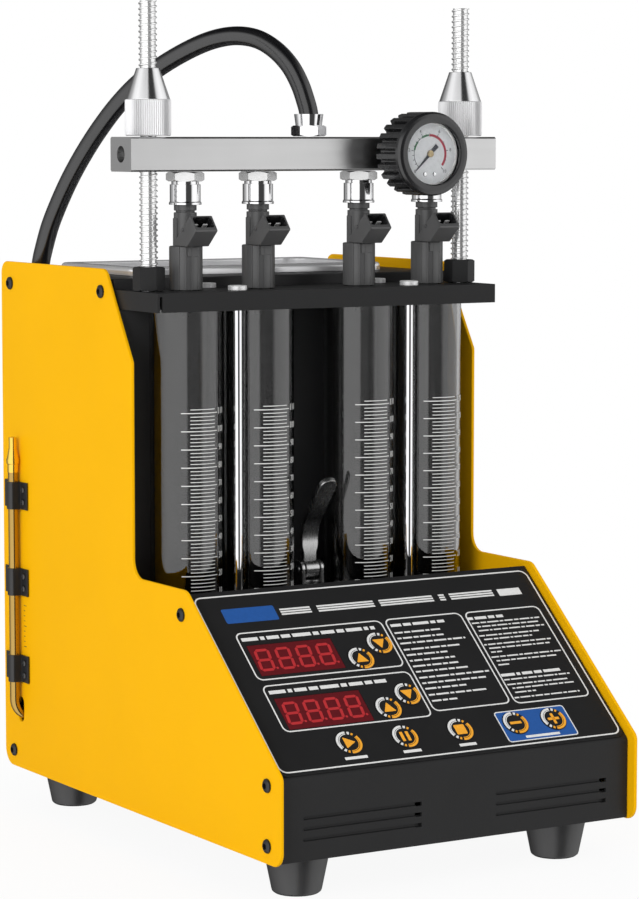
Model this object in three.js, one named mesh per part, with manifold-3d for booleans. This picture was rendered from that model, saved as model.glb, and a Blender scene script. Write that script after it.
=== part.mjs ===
// Bench machine that cleans and tests fuel injectors: a folded sheet cabinet with an ultrasonic bath on top,
// four glass measuring tubes in an open bay, and a fuel rail that two knurled nuts clamp on to the injectors.
// Millimetres, +X to the right, +Y to the back, +Z up. The origin is on the bench, under the cabinet's middle.
// The pieces are placed from the cabinet's middle, its front edge and its bottom edge.
import * as THREE from "three";
import { mergeVertices } from "three/addons/utils/BufferGeometryUtils.js";
import Module from "manifold-3d";

const wasm = await Module();
wasm.setup();

// Clearances and counts that every piece shares
const seatGap = 0.3; // between a piece and what carries it
const overrun = 5; // how far a cutting shape runs past what it cuts
const filletSteps = 2;
const smallSides = 10;
const mediumSides = 16;
const roundSides = 24;
const hexSides = 6;

// Sheet metal
const sheet = 1.5;
const bendRadius = 2;
const flangeDepth = 14;

// Measuring tubes and the bay that they stand in
const tubeDiameter = 40;
const tubeWall = 2.1;
const tubeLength = 174.1;
const tubeNeighbourGap = 5.6;
const tubeCentreGap = 25.4;
const baySideClearance = 11.7; // from the outer tubes to the side panels
const bayBackClearance = 7;
const bayPostWidth = 20.3;
const bayPostSetback = 18; // behind the line of the tubes

// Cabinet
const panelThickness = 2;
const noseHeight = 46.7;
const slopeRun = 99.6;
const slopeRise = 83.5;
const shelfDepth = 59.9;
const crownRise = 5.7; // side panels above the deck
const crownDrop = 49.5; // where the upper edge starts to lean back
const crownLean = 30.4;
const rearMargin = 16;
const noseRadius = 8;
const slopeFootRadius = 5;
const slopeTopRadius = 8;
const postFootRadius = 10;
const kneeRadius = 3;
const crownRadius = 7;
const footStandHeight = 22;
const panelEdgeDrop = 1; // base pan and covers end this far above the panels' bottom edge

// Front cover
const coverRecess = 6;
const slopeRecess = 5.5;
const coverSlant = 129;
const coverFlange = 15;
const ventCount = 3;
const ventPitch = 5.6;
const ventHeight = 2.2;
const ventLength = 72;
const ventInset = 14.4;
const ventTopDrop = 21.3; // below the fold
const ventDepth = 0.8;
const ventMouth = 3.7;

// Control face
const overlayThickness = 0.5;
const overlayMargin = 1.3;
const overlayCorner = 5;
const displayWidth = 51.5;
const displayHeight = 21.2;
const buttonDiameter = 15.2;
const buttonRise = 0.5;
const buttonThickness = 1.4;
const buttonStem = 5;
const buttonTravel = 0.8;
const boardThickness = 1.6;
const boardDepth = 12; // from the cover's face to the board's front
const boardMargin = 8;
const switchSize = 6;
// Centres on the control face, as shares of its width and slant from its middle
const displayPlaceShares = [
  [-0.303, 0.1115],
  [-0.303, -0.177],
];
const buttonPlaceShares = {
  function_up_button: [-0.1212, 0.0674],
  function_down_button: [-0.0476, 0.1384],
  time_up_button: [-0.1203, -0.205],
  time_down_button: [-0.0476, -0.1438],
  start_button: [-0.276, -0.3581],
  pause_button: [-0.1171, -0.3597],
  stop_button: [0.0435, -0.3574],
  pressure_less_button: [0.2076, -0.3558],
  pressure_more_button: [0.3211, -0.357],
};

// Tube base, its drain valve and the lever
const seatBelowShelf = 21.2;
const seatDepth = 6.7;
const baseUnderSeat = 24;
const baseFrontMargin = 4;
const drainBore = 6;
const troughDrop = 2; // trough floor below the tube base's top
const columnDiameter = 5;
const columnOffset = 17.2; // of the clamp columns, before and behind the tubes' line
const columnBite = 10;
const columnHeadDiameter = 11;
const columnHeadHeight = 2.6;
const valveDiameter = 14;
const valveHeight = 5.2;
const forkWidth = 14.6;
const forkDepth = 10;
const forkEar = 2.4;
const pivotHeight = 11.4; // above the tube base
const pivotPin = 3;
const leverHub = 5.2;
const leverWidth = 8.7;
const leverThickness = 3.6;
const leverKneeHeight = 23;
const leverReach = 23;
const leverHeight = 52.5;

// Injector plate
const plateThickness = 2;
const plateFlange = 10.5;
const plateEndGap = 1;
const plateFront = 24.8;
const plateCornerGap = 1.6;
const deckAbovePlate = 5.6;
const nozzleDiameter = 14;
const nozzleLength = 14;

// Clamp rods and nuts
const rodDiameter = 10;
const rodInset = 11.1;
const rodLength = 158.1;
const lockNutAcrossFlats = 17;
const lockNutHeight = 13;
const rodClearance = 0.4;
const knurlDiameter = 25;
const knurlHeight = 20;
const nutConeHeight = 16.5;
const nutTopDiameter = 12.6;
const nutChamfer = 1;

// Fuel rail
const railDepth = 24;
const railHeight = 18.7;
const railEnd = 16.7; // past the rods
const railAbovePlate = 64.6;
const railChamfer = 1;
const railPortDiameter = 9;
const railPortDepth = 10;
const galleryDiameter = 6;
const galleryEnd = 8; // solid rail between the gallery and the rod holes

// Rail fittings over the injectors
const fittingHexHeight = 5.1;
const fittingHexAcross = 18.2;
const fittingNeckDiameter = 15;
const fittingNeckHeight = 1.6;
const fittingBarrelDiameter = 16.8;
const fittingBarrelHeight = 9.5;
const fittingLipDiameter = 17.8;
const fittingLipHeight = 1.5;
const fittingBore = 13;

// Injectors
const holderDiameter = 18.5;
const holderHeight = 23.9;
const injectorBodyDiameter = 13;
const injectorBodyHeight = 18.2;
const injectorGrooveDiameter = 10.5;
const injectorGrooveHeight = 1;
const injectorCollarDiameter = 12.4;
const injectorCollarHeight = 3.4;
const inletDiameter = 9;
const inletHeight = 9;
const sealDiameter = 12.2;
const sealHeight = 3;
const sealAbove = 3.5;
const plugAngle = THREE.MathUtils.degToRad(40);
const plugReach = 24.4;
const plugMouthHeight = 10.8;
const plugLength = 13.5;
const plugWidth = 13.7;
const plugWall = 1;
const plugLip = 2.4;
const plugSocketDepth = 8.5;
const plugPinWidth = 2.8;
const plugPinThickness = 0.8;
const plugPinLength = 2.5;
const plugPinSpacing = 6;
const plugDrop = 8.7; // the mouth's lower lip, above the holder's shoulder

// Pressure gauge
const gaugeDiameter = 40;
const gaugeDepth = 23;
const gaugeDialDiameter = 34;
const gaugeWall = 1.2;
const gaugeStem = 6.5;
const gaugeStemAcross = 14;
const gaugeStemBore = 3;
const bootDiameter = 46.4;
const bootRibDepth = 1.5;
const bootRibs = 24;
const bootRim = 4;
const bootLip = 1;
const dialThickness = 0.8;
const dialInset = 3.6; // dial's face behind the case's front
const lensThickness = 0.8;
const lensInset = 0.8;
const needleLength = 13;
const needleTail = 6;
const needleWidth = 1.4;
const needleThickness = 0.5;
const needleHub = 4;
const needlePin = 1;
const needleZero = THREE.MathUtils.degToRad(225);

// Supply hose and its two fittings
const hoseDiameter = 10.6;
const hoseSides = 10;
const hoseSteps = 26;
const hoseHexAcross = 17;
const hoseHexHeight = 6;
const ferruleHeight = 6.3;
const ferruleBottomDiameter = 16.3;
const ferruleTopDiameter = 14.7;
const hoseBite = 5;
const deckFittingInset = 15.5;
const deckFittingSetback = 20;
const deckFittingFlange = 20;
const deckFittingBody = 15;
const deckFittingHeight = 2;
const deckFittingDrop = 9;
// The hose's route, as the run from the deck fitting towards the rail fitting and the height above the deck
const hoseRoute = [
  [0, -6],
  [0, 0],
  [0.8, 6],
  [2.6, 13],
  [7, 26.6],
  [13.4, 40.6],
  [20.8, 54.4],
  [29.6, 68.2],
  [39.8, 82],
  [52, 96],
  [66, 108.6],
  [82.3, 119],
  [99.5, 127.4],
  [114, 132.3],
  [127.8, 134],
  [140.5, 132],
  [151.5, 126],
  [160.5, 117.2],
  [166.6, 107],
  [170.4, 97],
  [172.1, 90.6],
  [172.1, 85.5],
];

// Ultrasonic bath
const tankWidth = 166;
const tankDepth = 93.5;
const tankSetback = 24.2; // rim behind the deck's front edge
const tankRim = 7;
const tankRimHeight = 4.6;
const tankCorner = 12;
const tankRimCorner = 6;
const bathDepth = 65;
const tankSheet = 1;
const transducerDiameter = 45;
const transducerHeight = 30;
const transducerStud = 12;

// Feet
const footTopDiameter = 34.9;
const footBottomDiameter = 26.5;
const footEdge = 2;
const footInset = 29.9;
const footFrontSetback = 34.7;
const footRearSetback = 30.4;

// Base pan, back cover and the reservoir for test fluid
const panFlange = 16;
const backRecess = 2.5;
const backVentCount = 8;
const backVentLength = 50;
const reservoirWall = 3;
const reservoirHeight = 100;
const reservoirMargin = 12;
const reservoirNeck = 30;

// Power inlet with its rocker switch
const inletFromLeft = 42;
const inletCentreHeight = 52;
const moduleWidth = 30;
const moduleHeight = 56;
const moduleFlange = 2;
const moduleBodyDepth = 22;
const moduleMargin = 3;
const socketWidth = 22.4;
const socketHeight = 15.4;
const socketDepth = 16;
const contactSize = 2;
const contactLength = 9;
const contactSpacing = 7;
const rockerWidth = 19;
const rockerHeight = 13;
const rockerDepth = 8;
const rockerTilt = THREE.MathUtils.degToRad(10);
const rockerPin = 2.4;

// Side level gauge
const sightTubeDiameter = 6;
const sightTubeGap = 0.8;
const sightTubeSetback = 21.5; // from the cabinet's back edge
const sightTubeBottom = 31.5;
const sightTubeTop = 179;
const sightTubeBend = 11;
const spoutHeight = 16.6;
const spoutRootDiameter = 7.4;
const spoutTipDiameter = 4.4;
const clipHeight = 16;
const clipThickness = 1;
const clipFront = 12.5;
const clipRear = 17;
const clipDrops = [17.4, 68, 119]; // clips' middles, below the sight tube's top

// Places worked out from those sizes
const tubeRadius = tubeDiameter / 2;
const innerTubeX = tubeCentreGap / 2 + tubeRadius;
const outerTubeX = innerTubeX + tubeDiameter + tubeNeighbourGap;
const stationXs = [-outerTubeX, -innerTubeX, innerTubeX, outerTubeX];
const columnX = (innerTubeX + outerTubeX) / 2;
const innerHalf = outerTubeX + tubeRadius + baySideClearance;
const cabinetHalf = innerHalf + panelThickness;
const coverHalf = innerHalf - seatGap;
const shelfHeight = noseHeight + slopeRise;
const standY = slopeRun + shelfDepth; // the line of the tubes, injectors, rods and rail
const seatHeight = shelfHeight - seatBelowShelf;
const baseTop = seatHeight + seatDepth;
const baseBottom = seatHeight - baseUnderSeat;
const baseFront = standY - tubeRadius - baseFrontMargin;
const plateUnder = seatHeight + seatGap + tubeLength + seatGap;
const plateTop = plateUnder + plateThickness;
const bulkheadY = standY + tubeRadius + bayBackClearance;
const deckTop = plateTop + deckAbovePlate;
const deckFront = bulkheadY + sheet + seatGap;
const cabinetHeight = deckTop + crownRise;
const tankFront = deckFront + tankSetback;
const cabinetDepth = tankFront + tankDepth + rearMargin;
const backFace = cabinetDepth - backRecess;
const backInner = backFace - sheet - seatGap;
const slopeAngle = Math.atan2(slopeRise, slopeRun);
const foldHeight = noseHeight + coverRecess * Math.tan(slopeAngle) - slopeRecess / Math.cos(slopeAngle);
const coverTopY = coverRecess + coverSlant * Math.cos(slopeAngle);
const coverTopZ = foldHeight + coverSlant * Math.sin(slopeAngle);
const troughFront = coverTopY + coverFlange * Math.sin(slopeAngle) + seatGap;
const rodX = cabinetHalf - rodInset;
const railHalf = rodX + railEnd;
const railBottom = plateTop + railAbovePlate;
const railTop = railBottom + railHeight;
const railMiddle = railBottom + railHeight / 2;
const railFront = standY - railDepth / 2;
const deckFittingX = deckFittingInset - cabinetHalf;
const deckFittingY = cabinetDepth - deckFittingSetback;
const leftFace = -cabinetHalf;

// Finishes
const finish = (color, roughness, metalness = 0, extra = {}) =>
  new THREE.MeshStandardMaterial({ color, roughness, metalness, ...extra });
const yellowPaint = finish(0xf7b512, 0.45);
const blackPaint = finish(0x26272a, 0.6);
const overlayFilm = finish(0x1c1d20, 0.5);
const blackPlastic = finish(0x2e2f31, 0.5);
const blackRubber = finish(0x333436, 0.8);
const brightAluminium = finish(0xd6d8da, 0.35, 0.9);
const polishedSteel = finish(0xe2e4e6, 0.18, 1);
const clearGlass = finish(0xb8bcc0, 0.05, 0, { transparent: true, opacity: 0.3 });
const brassMetal = finish(0xc79a45, 0.3, 1);
const buttonOrange = finish(0xf2a01c, 0.5);
const boardGreen = finish(0x1f5a36, 0.6);
const whiteEnamel = finish(0xf4f4f2, 0.4);
const needleBlack = finish(0x111111, 0.4);
const whitePlastic = finish(0xe6e7e6, 0.5);

// The parts are built as closed geometries, and joined or cut as solids.
const axisX = new THREE.Vector3(1, 0, 0);
const axisY = new THREE.Vector3(0, 1, 0);
const axisZ = new THREE.Vector3(0, 0, 1);
const acrossBasis = new THREE.Matrix4().makeBasis(axisY, axisZ, axisX); // (y, z) outline drawn out along X
const standingBasis = new THREE.Matrix4().makeBasis(axisX, axisZ, axisY.clone().negate()); // (x, z) along -Y

function toSolid(geometry) {
  const bare = geometry.clone();
  bare.deleteAttribute("normal");
  bare.deleteAttribute("uv");
  const merged = mergeVertices(bare, seatGap / 1000);
  const mesh = new wasm.Mesh({
    numProp: 3,
    vertProperties: new Float32Array(merged.attributes.position.array),
    triVerts: new Uint32Array(merged.index.array),
  });
  return new wasm.Manifold(mesh);
}

function toGeometry(solid) {
  const mesh = solid.getMesh();
  const geometry = new THREE.BufferGeometry();
  geometry.setAttribute("position", new THREE.BufferAttribute(mesh.vertProperties, mesh.numProp));
  geometry.setIndex(new THREE.BufferAttribute(mesh.triVerts, 1));
  geometry.computeVertexNormals();
  return geometry;
}

// One geometry from several that meet or cross, less the ones that are cut away
function shaped(joined, removed = []) {
  let solid = toSolid(joined[0]);
  for (const geometry of joined.slice(1)) solid = solid.add(toSolid(geometry));
  for (const geometry of removed) solid = solid.subtract(toSolid(geometry));
  return toGeometry(solid);
}

// A box from its lowest to its highest corner
function block(low, high) {
  const size = high.map((value, i) => value - low[i]);
  const middle = high.map((value, i) => (value + low[i]) / 2);
  return new THREE.BoxGeometry(...size).translate(...middle);
}

// A solid of revolution about Z from a closed profile of [radius, height] points
function turned(profile, sides = mediumSides) {
  const points = profile.map(([radius, height]) => new THREE.Vector2(radius, height));
  return new THREE.LatheGeometry(points, sides).rotateX(Math.PI / 2);
}

// A turned profile that is hollow closes on itself
const ring = (profile, sides) => turned([...profile, profile[0]], sides);

function rod(radius, low, high, sides = mediumSides) {
  return turned([[0, low], [radius, low], [radius, high], [0, high]], sides);
}

function hexBar(acrossFlats, low, high) {
  const radius = acrossFlats / 2 / Math.cos(Math.PI / hexSides);
  const bar = new THREE.CylinderGeometry(radius, radius, high - low, hexSides);
  return bar.rotateX(Math.PI / 2).translate(0, 0, (low + high) / 2);
}

// A closed outline whose corners are [across, up, radius], with arcs in the corners that have a radius
function outline(corners) {
  const shape = new THREE.Shape();
  corners.forEach(([x, y, radius = 0], i) => {
    const here = new THREE.Vector2(x, y);
    const [px, py] = corners[(i + corners.length - 1) % corners.length];
    const [nx, ny] = corners[(i + 1) % corners.length];
    const back = new THREE.Vector2(px, py).sub(here).normalize();
    const ahead = new THREE.Vector2(nx, ny).sub(here).normalize();
    const half = Math.acos(THREE.MathUtils.clamp(back.dot(ahead), -1, 1)) / 2;
    const reach = radius / Math.tan(half);
    const start = here.clone().addScaledVector(back, reach);
    const end = here.clone().addScaledVector(ahead, reach);
    if (i === 0) shape.moveTo(start.x, start.y);
    else shape.lineTo(start.x, start.y);
    if (radius > 0) {
      const centre = back.clone().add(ahead).normalize().multiplyScalar(radius / Math.sin(half)).add(here);
      const from = start.clone().sub(centre).angle();
      const to = end.clone().sub(centre).angle();
      const clockwise = back.cross(ahead) > 0;
      shape.absarc(centre.x, centre.y, radius, from, to, clockwise);
    }
  });
  shape.closePath();
  return shape;
}

function drawn(shape, length, steps = filletSteps) {
  return new THREE.ExtrudeGeometry(shape, { depth: length, bevelEnabled: false, curveSegments: steps });
}

// An outline of [y, z] corners drawn out along X, evenly to both sides
function acrossX(corners, half) {
  return drawn(outline(corners), 2 * half).translate(0, 0, -half).applyMatrix4(acrossBasis);
}

// A solid round bar along a curve
function tubeAlong(extrudePath, radius, steps) {
  const section = new THREE.Shape();
  section.absarc(0, 0, radius, 0, 2 * Math.PI);
  const settings = { extrudePath, steps, curveSegments: hoseSides / 2, bevelEnabled: false };
  return new THREE.ExtrudeGeometry(section, settings);
}

// Two distances from the middle, on one side of it, in rising order
const onSide = (side, near, far) => [side * near, side * far].sort((a, b) => a - b);

// An outline of [x, y] corners drawn up from one height to another
const upZ = (corners, low, high) => drawn(outline(corners), high - low).translate(0, 0, low);

// The band of sheet inside a path: the path is its outer face, and the sheet lies to the path's right
function sheetBand(path, thickness, outerRadius) {
  const ends = path.length - 1;
  const inner = path.map((point, i) => {
    const sides = [];
    if (i > 0) sides.push(new THREE.Vector2(...point).sub(new THREE.Vector2(...path[i - 1])).normalize());
    if (i < ends) sides.push(new THREE.Vector2(...path[i + 1]).sub(new THREE.Vector2(...point)).normalize());
    const normals = sides.map((side) => new THREE.Vector2(side.y, -side.x));
    const mitre = normals.reduce((sum, normal) => sum.add(normal), new THREE.Vector2()).normalize();
    return new THREE.Vector2(...point).addScaledVector(mitre, thickness / mitre.dot(normals[0]));
  });
  const bend = (i, radius) => (i > 0 && i < ends ? Math.max(radius, 0) : 0);
  const outside = path.map(([x, y], i) => [x, y, bend(i, outerRadius)]);
  const inside = inner.map((point, i) => [point.x, point.y, bend(i, outerRadius - thickness)]);
  return [...outside, ...inside.reverse()];
}

const machine = new THREE.Group();
machine.position.set(0, -cabinetDepth / 2, footStandHeight);

function place(name, geometry, material, parent = machine, position = [0, 0, 0]) {
  const mesh = new THREE.Mesh(geometry, material);
  mesh.name = name;
  mesh.position.set(...position);
  parent.add(mesh);
  return mesh;
}

// Side panels: flat sheets with a sloped nose, a shelf and an upright post that leans back at its top
function sidePanel(leftHole) {
  const corners = [
    [0, 0, noseRadius],
    [cabinetDepth, 0],
    [cabinetDepth, cabinetHeight, crownRadius],
    [standY + crownLean, cabinetHeight, crownRadius],
    [standY, cabinetHeight - crownDrop, kneeRadius],
    [standY, shelfHeight, postFootRadius],
    [slopeRun, shelfHeight, slopeTopRadius],
    [0, noseHeight, slopeFootRadius],
  ];
  const panel = acrossX(corners, panelThickness / 2);
  return leftHole ? shaped([panel], [leftHole]) : panel;
}

const sightTubeX = leftFace - sightTubeGap - sightTubeDiameter / 2;
const sightTubeY = cabinetDepth - sightTubeSetback;
const sightHoleHalf = sightTubeDiameter / 2 + 2 * seatGap;
const sightHole = acrossX(
  [
    [-sightHoleHalf, sightTubeBottom - sightHoleHalf, sightHoleHalf - seatGap],
    [sightHoleHalf, sightTubeBottom - sightHoleHalf, sightHoleHalf - seatGap],
    [sightHoleHalf, sightTubeBottom + sightTubeBend, sightHoleHalf - seatGap],
    [-sightHoleHalf, sightTubeBottom + sightTubeBend, sightHoleHalf - seatGap],
  ],
  overrun,
).translate(0, sightTubeY, 0);
place("left_side_panel", sidePanel(sightHole), yellowPaint, machine, [leftFace + panelThickness / 2, 0, 0]);
place("right_side_panel", sidePanel(), yellowPaint, machine, [cabinetHalf - panelThickness / 2, 0, 0]);

// Front cover: nose, control face and turned-in edges, folded from one sheet
const controlFace = new THREE.Group();
controlFace.position.set(0, coverRecess, foldHeight);
controlFace.rotation.x = slopeAngle;
machine.add(controlFace);

const coverWidth = 2 * (coverHalf - overlayMargin);
const onFace = ([acrossShare, upShare]) => [acrossShare * coverWidth, coverSlant / 2 + upShare * coverSlant];
const displayPlaces = displayPlaceShares.map(onFace);
const buttonPlaces = Object.entries(buttonPlaceShares).map(([name, shares]) => ({ name, at: onFace(shares) }));

function displayWindows() {
  const halfWidth = displayWidth / 2 + seatGap;
  const halfHeight = displayHeight / 2 + seatGap;
  return displayPlaces.map(([u, v]) =>
    block([u - halfWidth, v - halfHeight, -overrun], [u + halfWidth, v + halfHeight, overrun]),
  );
}

function buttonHoles() {
  const radius = buttonDiameter / 2 + seatGap;
  return buttonPlaces.map(({ at: [u, v] }) => rod(radius, -overrun, overrun).translate(u, v, 0));
}

function toMachine(geometry) {
  controlFace.updateMatrix();
  return geometry.applyMatrix4(controlFace.matrix);
}

function frontCover() {
  const path = [[coverRecess, panelEdgeDrop], [coverRecess, foldHeight], [coverTopY, coverTopZ]];
  const solid = acrossX(sheetBand(path, coverFlange, bendRadius + sheet), coverHalf);
  const insetFold = [
    coverRecess + sheet,
    foldHeight + sheet * Math.tan(slopeAngle) - sheet / Math.cos(slopeAngle),
  ];
  const insetEnd = [
    insetFold[0] + (coverSlant - sheet) * Math.cos(slopeAngle),
    insetFold[1] + (coverSlant - sheet) * Math.sin(slopeAngle),
  ];
  const insetPath = [[coverRecess + sheet, panelEdgeDrop - overrun], insetFold, insetEnd];
  const hollow = acrossX(sheetBand(insetPath, coverFlange + overrun, bendRadius), coverHalf - sheet);
  const cuts = [hollow];
  const vents = [-1, 1].flatMap((side) => Array.from({ length: ventCount }, (_, row) => ({ side, row })));
  for (const { side, row } of vents) {
    const height = foldHeight - ventTopDrop - row * ventPitch;
    const outer = coverHalf - ventInset;
    const left = side < 0 ? -outer : outer - ventLength;
    const right = left + ventLength;
    const bottom = height - ventHeight / 2;
    const corners = [
      [left, bottom, ventHeight / 2 - seatGap],
      [right, bottom],
      [right, bottom + ventHeight],
      [left, bottom + ventHeight, ventHeight / 2 - seatGap],
    ];
    const groove = drawn(outline(corners), ventDepth + overrun).applyMatrix4(standingBasis);
    cuts.push(groove.translate(0, coverRecess + ventDepth, 0));
    const mouthLow = [right - ventMouth, coverRecess - overrun, bottom];
    cuts.push(block(mouthLow, [right, coverRecess + overrun, bottom + ventHeight]));
  }
  const openings = [...displayWindows(), ...buttonHoles()].map(toMachine);
  return shaped([solid], [...cuts, ...openings]);
}
place("front_cover", frontCover(), blackPaint);

// Printed overlay on the control face, with the buttons that lie in it
const overlayLow = seatGap;
const overlayHigh = seatGap + overlayThickness;
function controlOverlay() {
  const half = coverHalf - overlayMargin;
  const top = coverSlant - overlayMargin;
  const corners = [
    [-half, overlayMargin, overlayCorner],
    [half, overlayMargin, overlayCorner],
    [half, top, overlayCorner],
    [-half, top, overlayCorner],
  ];
  return shaped([upZ(corners, overlayLow, overlayHigh)], [...displayWindows(), ...buttonHoles()]);
}
place("control_overlay", controlOverlay(), overlayFilm, controlFace);

const boardFront = -boardDepth;
const switchTop = boardFront + boardDepth / 2;
function pushButton() {
  const top = overlayHigh + buttonRise;
  const under = top - buttonThickness;
  const stem = buttonStem / 2;
  const edge = buttonRise / 2;
  const profile = [
    [0, switchTop + seatGap],
    [stem, switchTop + seatGap],
    [stem, under],
    [buttonDiameter / 2, under],
    [buttonDiameter / 2, top - edge],
    [buttonDiameter / 2 - edge, top],
    [0, top],
  ];
  return turned(profile);
}
for (const { name, at } of buttonPlaces) place(name, pushButton(), buttonOrange, controlFace, [...at, 0]);

// Control board: a circuit board with both displays and a tactile switch under each button
function controlBoard() {
  const half = coverHalf - boardMargin;
  const low = [-half, boardMargin, boardFront - boardThickness];
  const board = block(low, [half, coverSlant - boardMargin - coverFlange, boardFront]);
  const displays = displayPlaces.map(([u, v]) =>
    block(
      [u - displayWidth / 2, v - displayHeight / 2, boardFront - boardThickness / 2],
      [u + displayWidth / 2, v + displayHeight / 2, overlayLow],
    ),
  );
  const plungerTop = switchTop - buttonTravel;
  const switches = buttonPlaces.map(({ at: [u, v] }) =>
    block(
      [u - switchSize / 2, v - switchSize / 2, boardFront - boardThickness / 2],
      [u + switchSize / 2, v + switchSize / 2, plungerTop],
    ),
  );
  return shaped([board, ...displays, ...switches]);
}
place("control_board", controlBoard(), boardGreen, controlFace);

// Base pan with four turned-up edges
function basePan() {
  const low = panelEdgeDrop;
  const front = coverRecess + sheet + seatGap;
  const outer = block([-coverHalf, front, low], [coverHalf, backInner, low + panFlange]);
  const inner = block(
    [-coverHalf + sheet, front + sheet, low + sheet],
    [coverHalf - sheet, backInner - sheet, low + panFlange + overrun],
  );
  const notches = [-1, 1].map((side) => {
    const [near, far] = onSide(side, coverHalf - sheet - seatGap, coverHalf + overrun);
    return block([near, 0, 0], [far, coverRecess + coverFlange + seatGap, low + panFlange + overrun]);
  });
  return shaped([outer], [inner, ...notches]);
}
place("base_pan", basePan(), blackPaint);
const panFloor = panelEdgeDrop + sheet;

// Back cover, with vent slots and the hole for the power inlet
const inletX = inletFromLeft - cabinetHalf;
function backCover() {
  const cover = block([-coverHalf, backFace - sheet, panelEdgeDrop], [coverHalf, backFace, deckTop]);
  const halfWidth = moduleWidth / 2 - moduleMargin + seatGap;
  const halfHeight = moduleHeight / 2 - moduleMargin + seatGap;
  const hole = block(
    [inletX - halfWidth, backFace - overrun, inletCentreHeight - halfHeight],
    [inletX + halfWidth, backFace + overrun, inletCentreHeight + halfHeight],
  );
  const slots = Array.from({ length: backVentCount }, (_, row) => {
    const height = cabinetHeight / 2 + row * 2 * ventPitch;
    return block(
      [-backVentLength / 2, backFace - overrun, height],
      [backVentLength / 2, backFace + overrun, height + ventHeight],
    );
  });
  return shaped([cover], [hole, ...slots]);
}
place("back_cover", backCover(), blackPaint);

// Deck: a tray turned down on all sides, with the openings for the bath and the hose fitting
const tankMiddle = tankFront + tankDepth / 2;
function topDeck() {
  const low = deckTop - flangeDepth;
  const outer = block([-coverHalf, deckFront, low], [coverHalf, backInner, deckTop]);
  const inner = block(
    [-coverHalf + sheet, deckFront + sheet, low - overrun],
    [coverHalf - sheet, backInner - sheet, deckTop - sheet],
  );
  const halfWidth = tankWidth / 2 - tankRim + seatGap;
  const halfDepth = tankDepth / 2 - tankRim + seatGap;
  const mouth = roundedBox(halfWidth, halfDepth, tankCorner, low, deckTop + overrun);
  mouth.translate(0, tankMiddle, 0);
  const hoseHole = rod(deckFittingBody / 2 + seatGap, low, deckTop + overrun);
  hoseHole.translate(deckFittingX, deckFittingY, 0);
  return shaped([outer], [inner, mouth, hoseHole]);
}

function roundedBox(halfWidth, halfDepth, radius, low, high) {
  const corners = [
    [-halfWidth, -halfDepth, radius],
    [halfWidth, -halfDepth, radius],
    [halfWidth, halfDepth, radius],
    [-halfWidth, halfDepth, radius],
  ];
  return upZ(corners, low, high);
}
place("top_deck", topDeck(), blackPaint);

// Bay: bulkhead, a folded post on each side before it, and a stepped floor under the tube base and the trough
function bayHousing() {
  const top = plateTop - plateFlange - seatGap;
  const postFace = standY + bayPostSetback;
  const bulkheadHalf = coverHalf - sheet - seatGap;
  const bulkhead = block(
    [-bulkheadHalf, bulkheadY, panFloor + seatGap],
    [bulkheadHalf, bulkheadY + sheet, deckTop - seatGap],
  );
  const posts = [-1, 1].flatMap((side) => {
    const wall = onSide(side, coverHalf - bayPostWidth, coverHalf - bayPostWidth + sheet);
    const face = onSide(side, coverHalf - bayPostWidth, coverHalf);
    return [
      block([wall[0], postFace, baseTop + seatGap], [wall[1], bulkheadY + sheet, top]),
      block([face[0], postFace, baseTop + seatGap], [face[1], postFace + sheet, top]),
    ];
  });
  const floorPath = [
    [bulkheadY + sheet, baseBottom - seatGap - sheet],
    [baseFront - seatGap - sheet, baseBottom - seatGap - sheet],
    [baseFront - seatGap - sheet, baseTop - troughDrop],
    [troughFront, baseTop - troughDrop],
  ];
  const floor = acrossX(sheetBand(floorPath, sheet, bendRadius), coverHalf);
  return shaped([bulkhead, ...posts, floor]);
}
place("bay_housing", bayHousing(), blackPaint);

// Tube base: a block with a seat and a drain under each tube, and holes for the clamp columns
const columnYs = [standY - columnOffset, standY + columnOffset];
const columnPlaces = [-columnX, columnX].flatMap((x) => columnYs.map((y) => [x, y]));
function tubeBase() {
  const body = block([-coverHalf, baseFront, baseBottom], [coverHalf, bulkheadY - seatGap, baseTop]);
  const seats = stationXs.map((x) => {
    const seat = rod(tubeRadius + seatGap, seatHeight, baseTop + overrun, roundSides);
    return seat.translate(x, standY, 0);
  });
  const drains = stationXs.map((x) => {
    const drain = rod(drainBore / 2, baseBottom - overrun, baseTop, smallSides);
    return drain.translate(x, standY, 0);
  });
  const sockets = columnPlaces.map(([x, y]) => {
    const floor = baseTop - columnBite - seatGap;
    return rod(columnDiameter / 2 + seatGap, floor, baseTop + overrun, smallSides).translate(x, y, 0);
  });
  return shaped([body], [...seats, ...drains, ...sockets]);
}
place("tube_base", tubeBase(), blackPlastic);

// Measuring tubes
function measuringTube() {
  const bore = tubeRadius - tubeWall;
  return ring([[bore, 0], [tubeRadius, 0], [tubeRadius, tubeLength], [bore, tubeLength]], roundSides);
}
stationXs.forEach((x, i) =>
  place("measuring_tube_" + (i + 1), measuringTube(), clearGlass, machine, [x, standY, seatHeight + seatGap]),
);

// Clamp columns that hold the injector plate down on the tubes
function clampColumn() {
  const headLow = plateTop + seatGap;
  const profile = [
    [0, baseTop - columnBite],
    [columnDiameter / 2, baseTop - columnBite],
    [columnDiameter / 2, headLow],
    [columnHeadDiameter / 2, headLow],
    [columnHeadDiameter / 2, headLow + columnHeadHeight],
    [0, headLow + columnHeadHeight],
  ];
  return turned(profile, smallSides);
}
columnPlaces.forEach(([x, y], i) => {
  const name = "clamp_column_" + (i % 2 ? "back_" : "front_") + (x < 0 ? "left" : "right");
  place(name, clampColumn(), polishedSteel, machine, [x, y, 0]);
});

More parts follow.
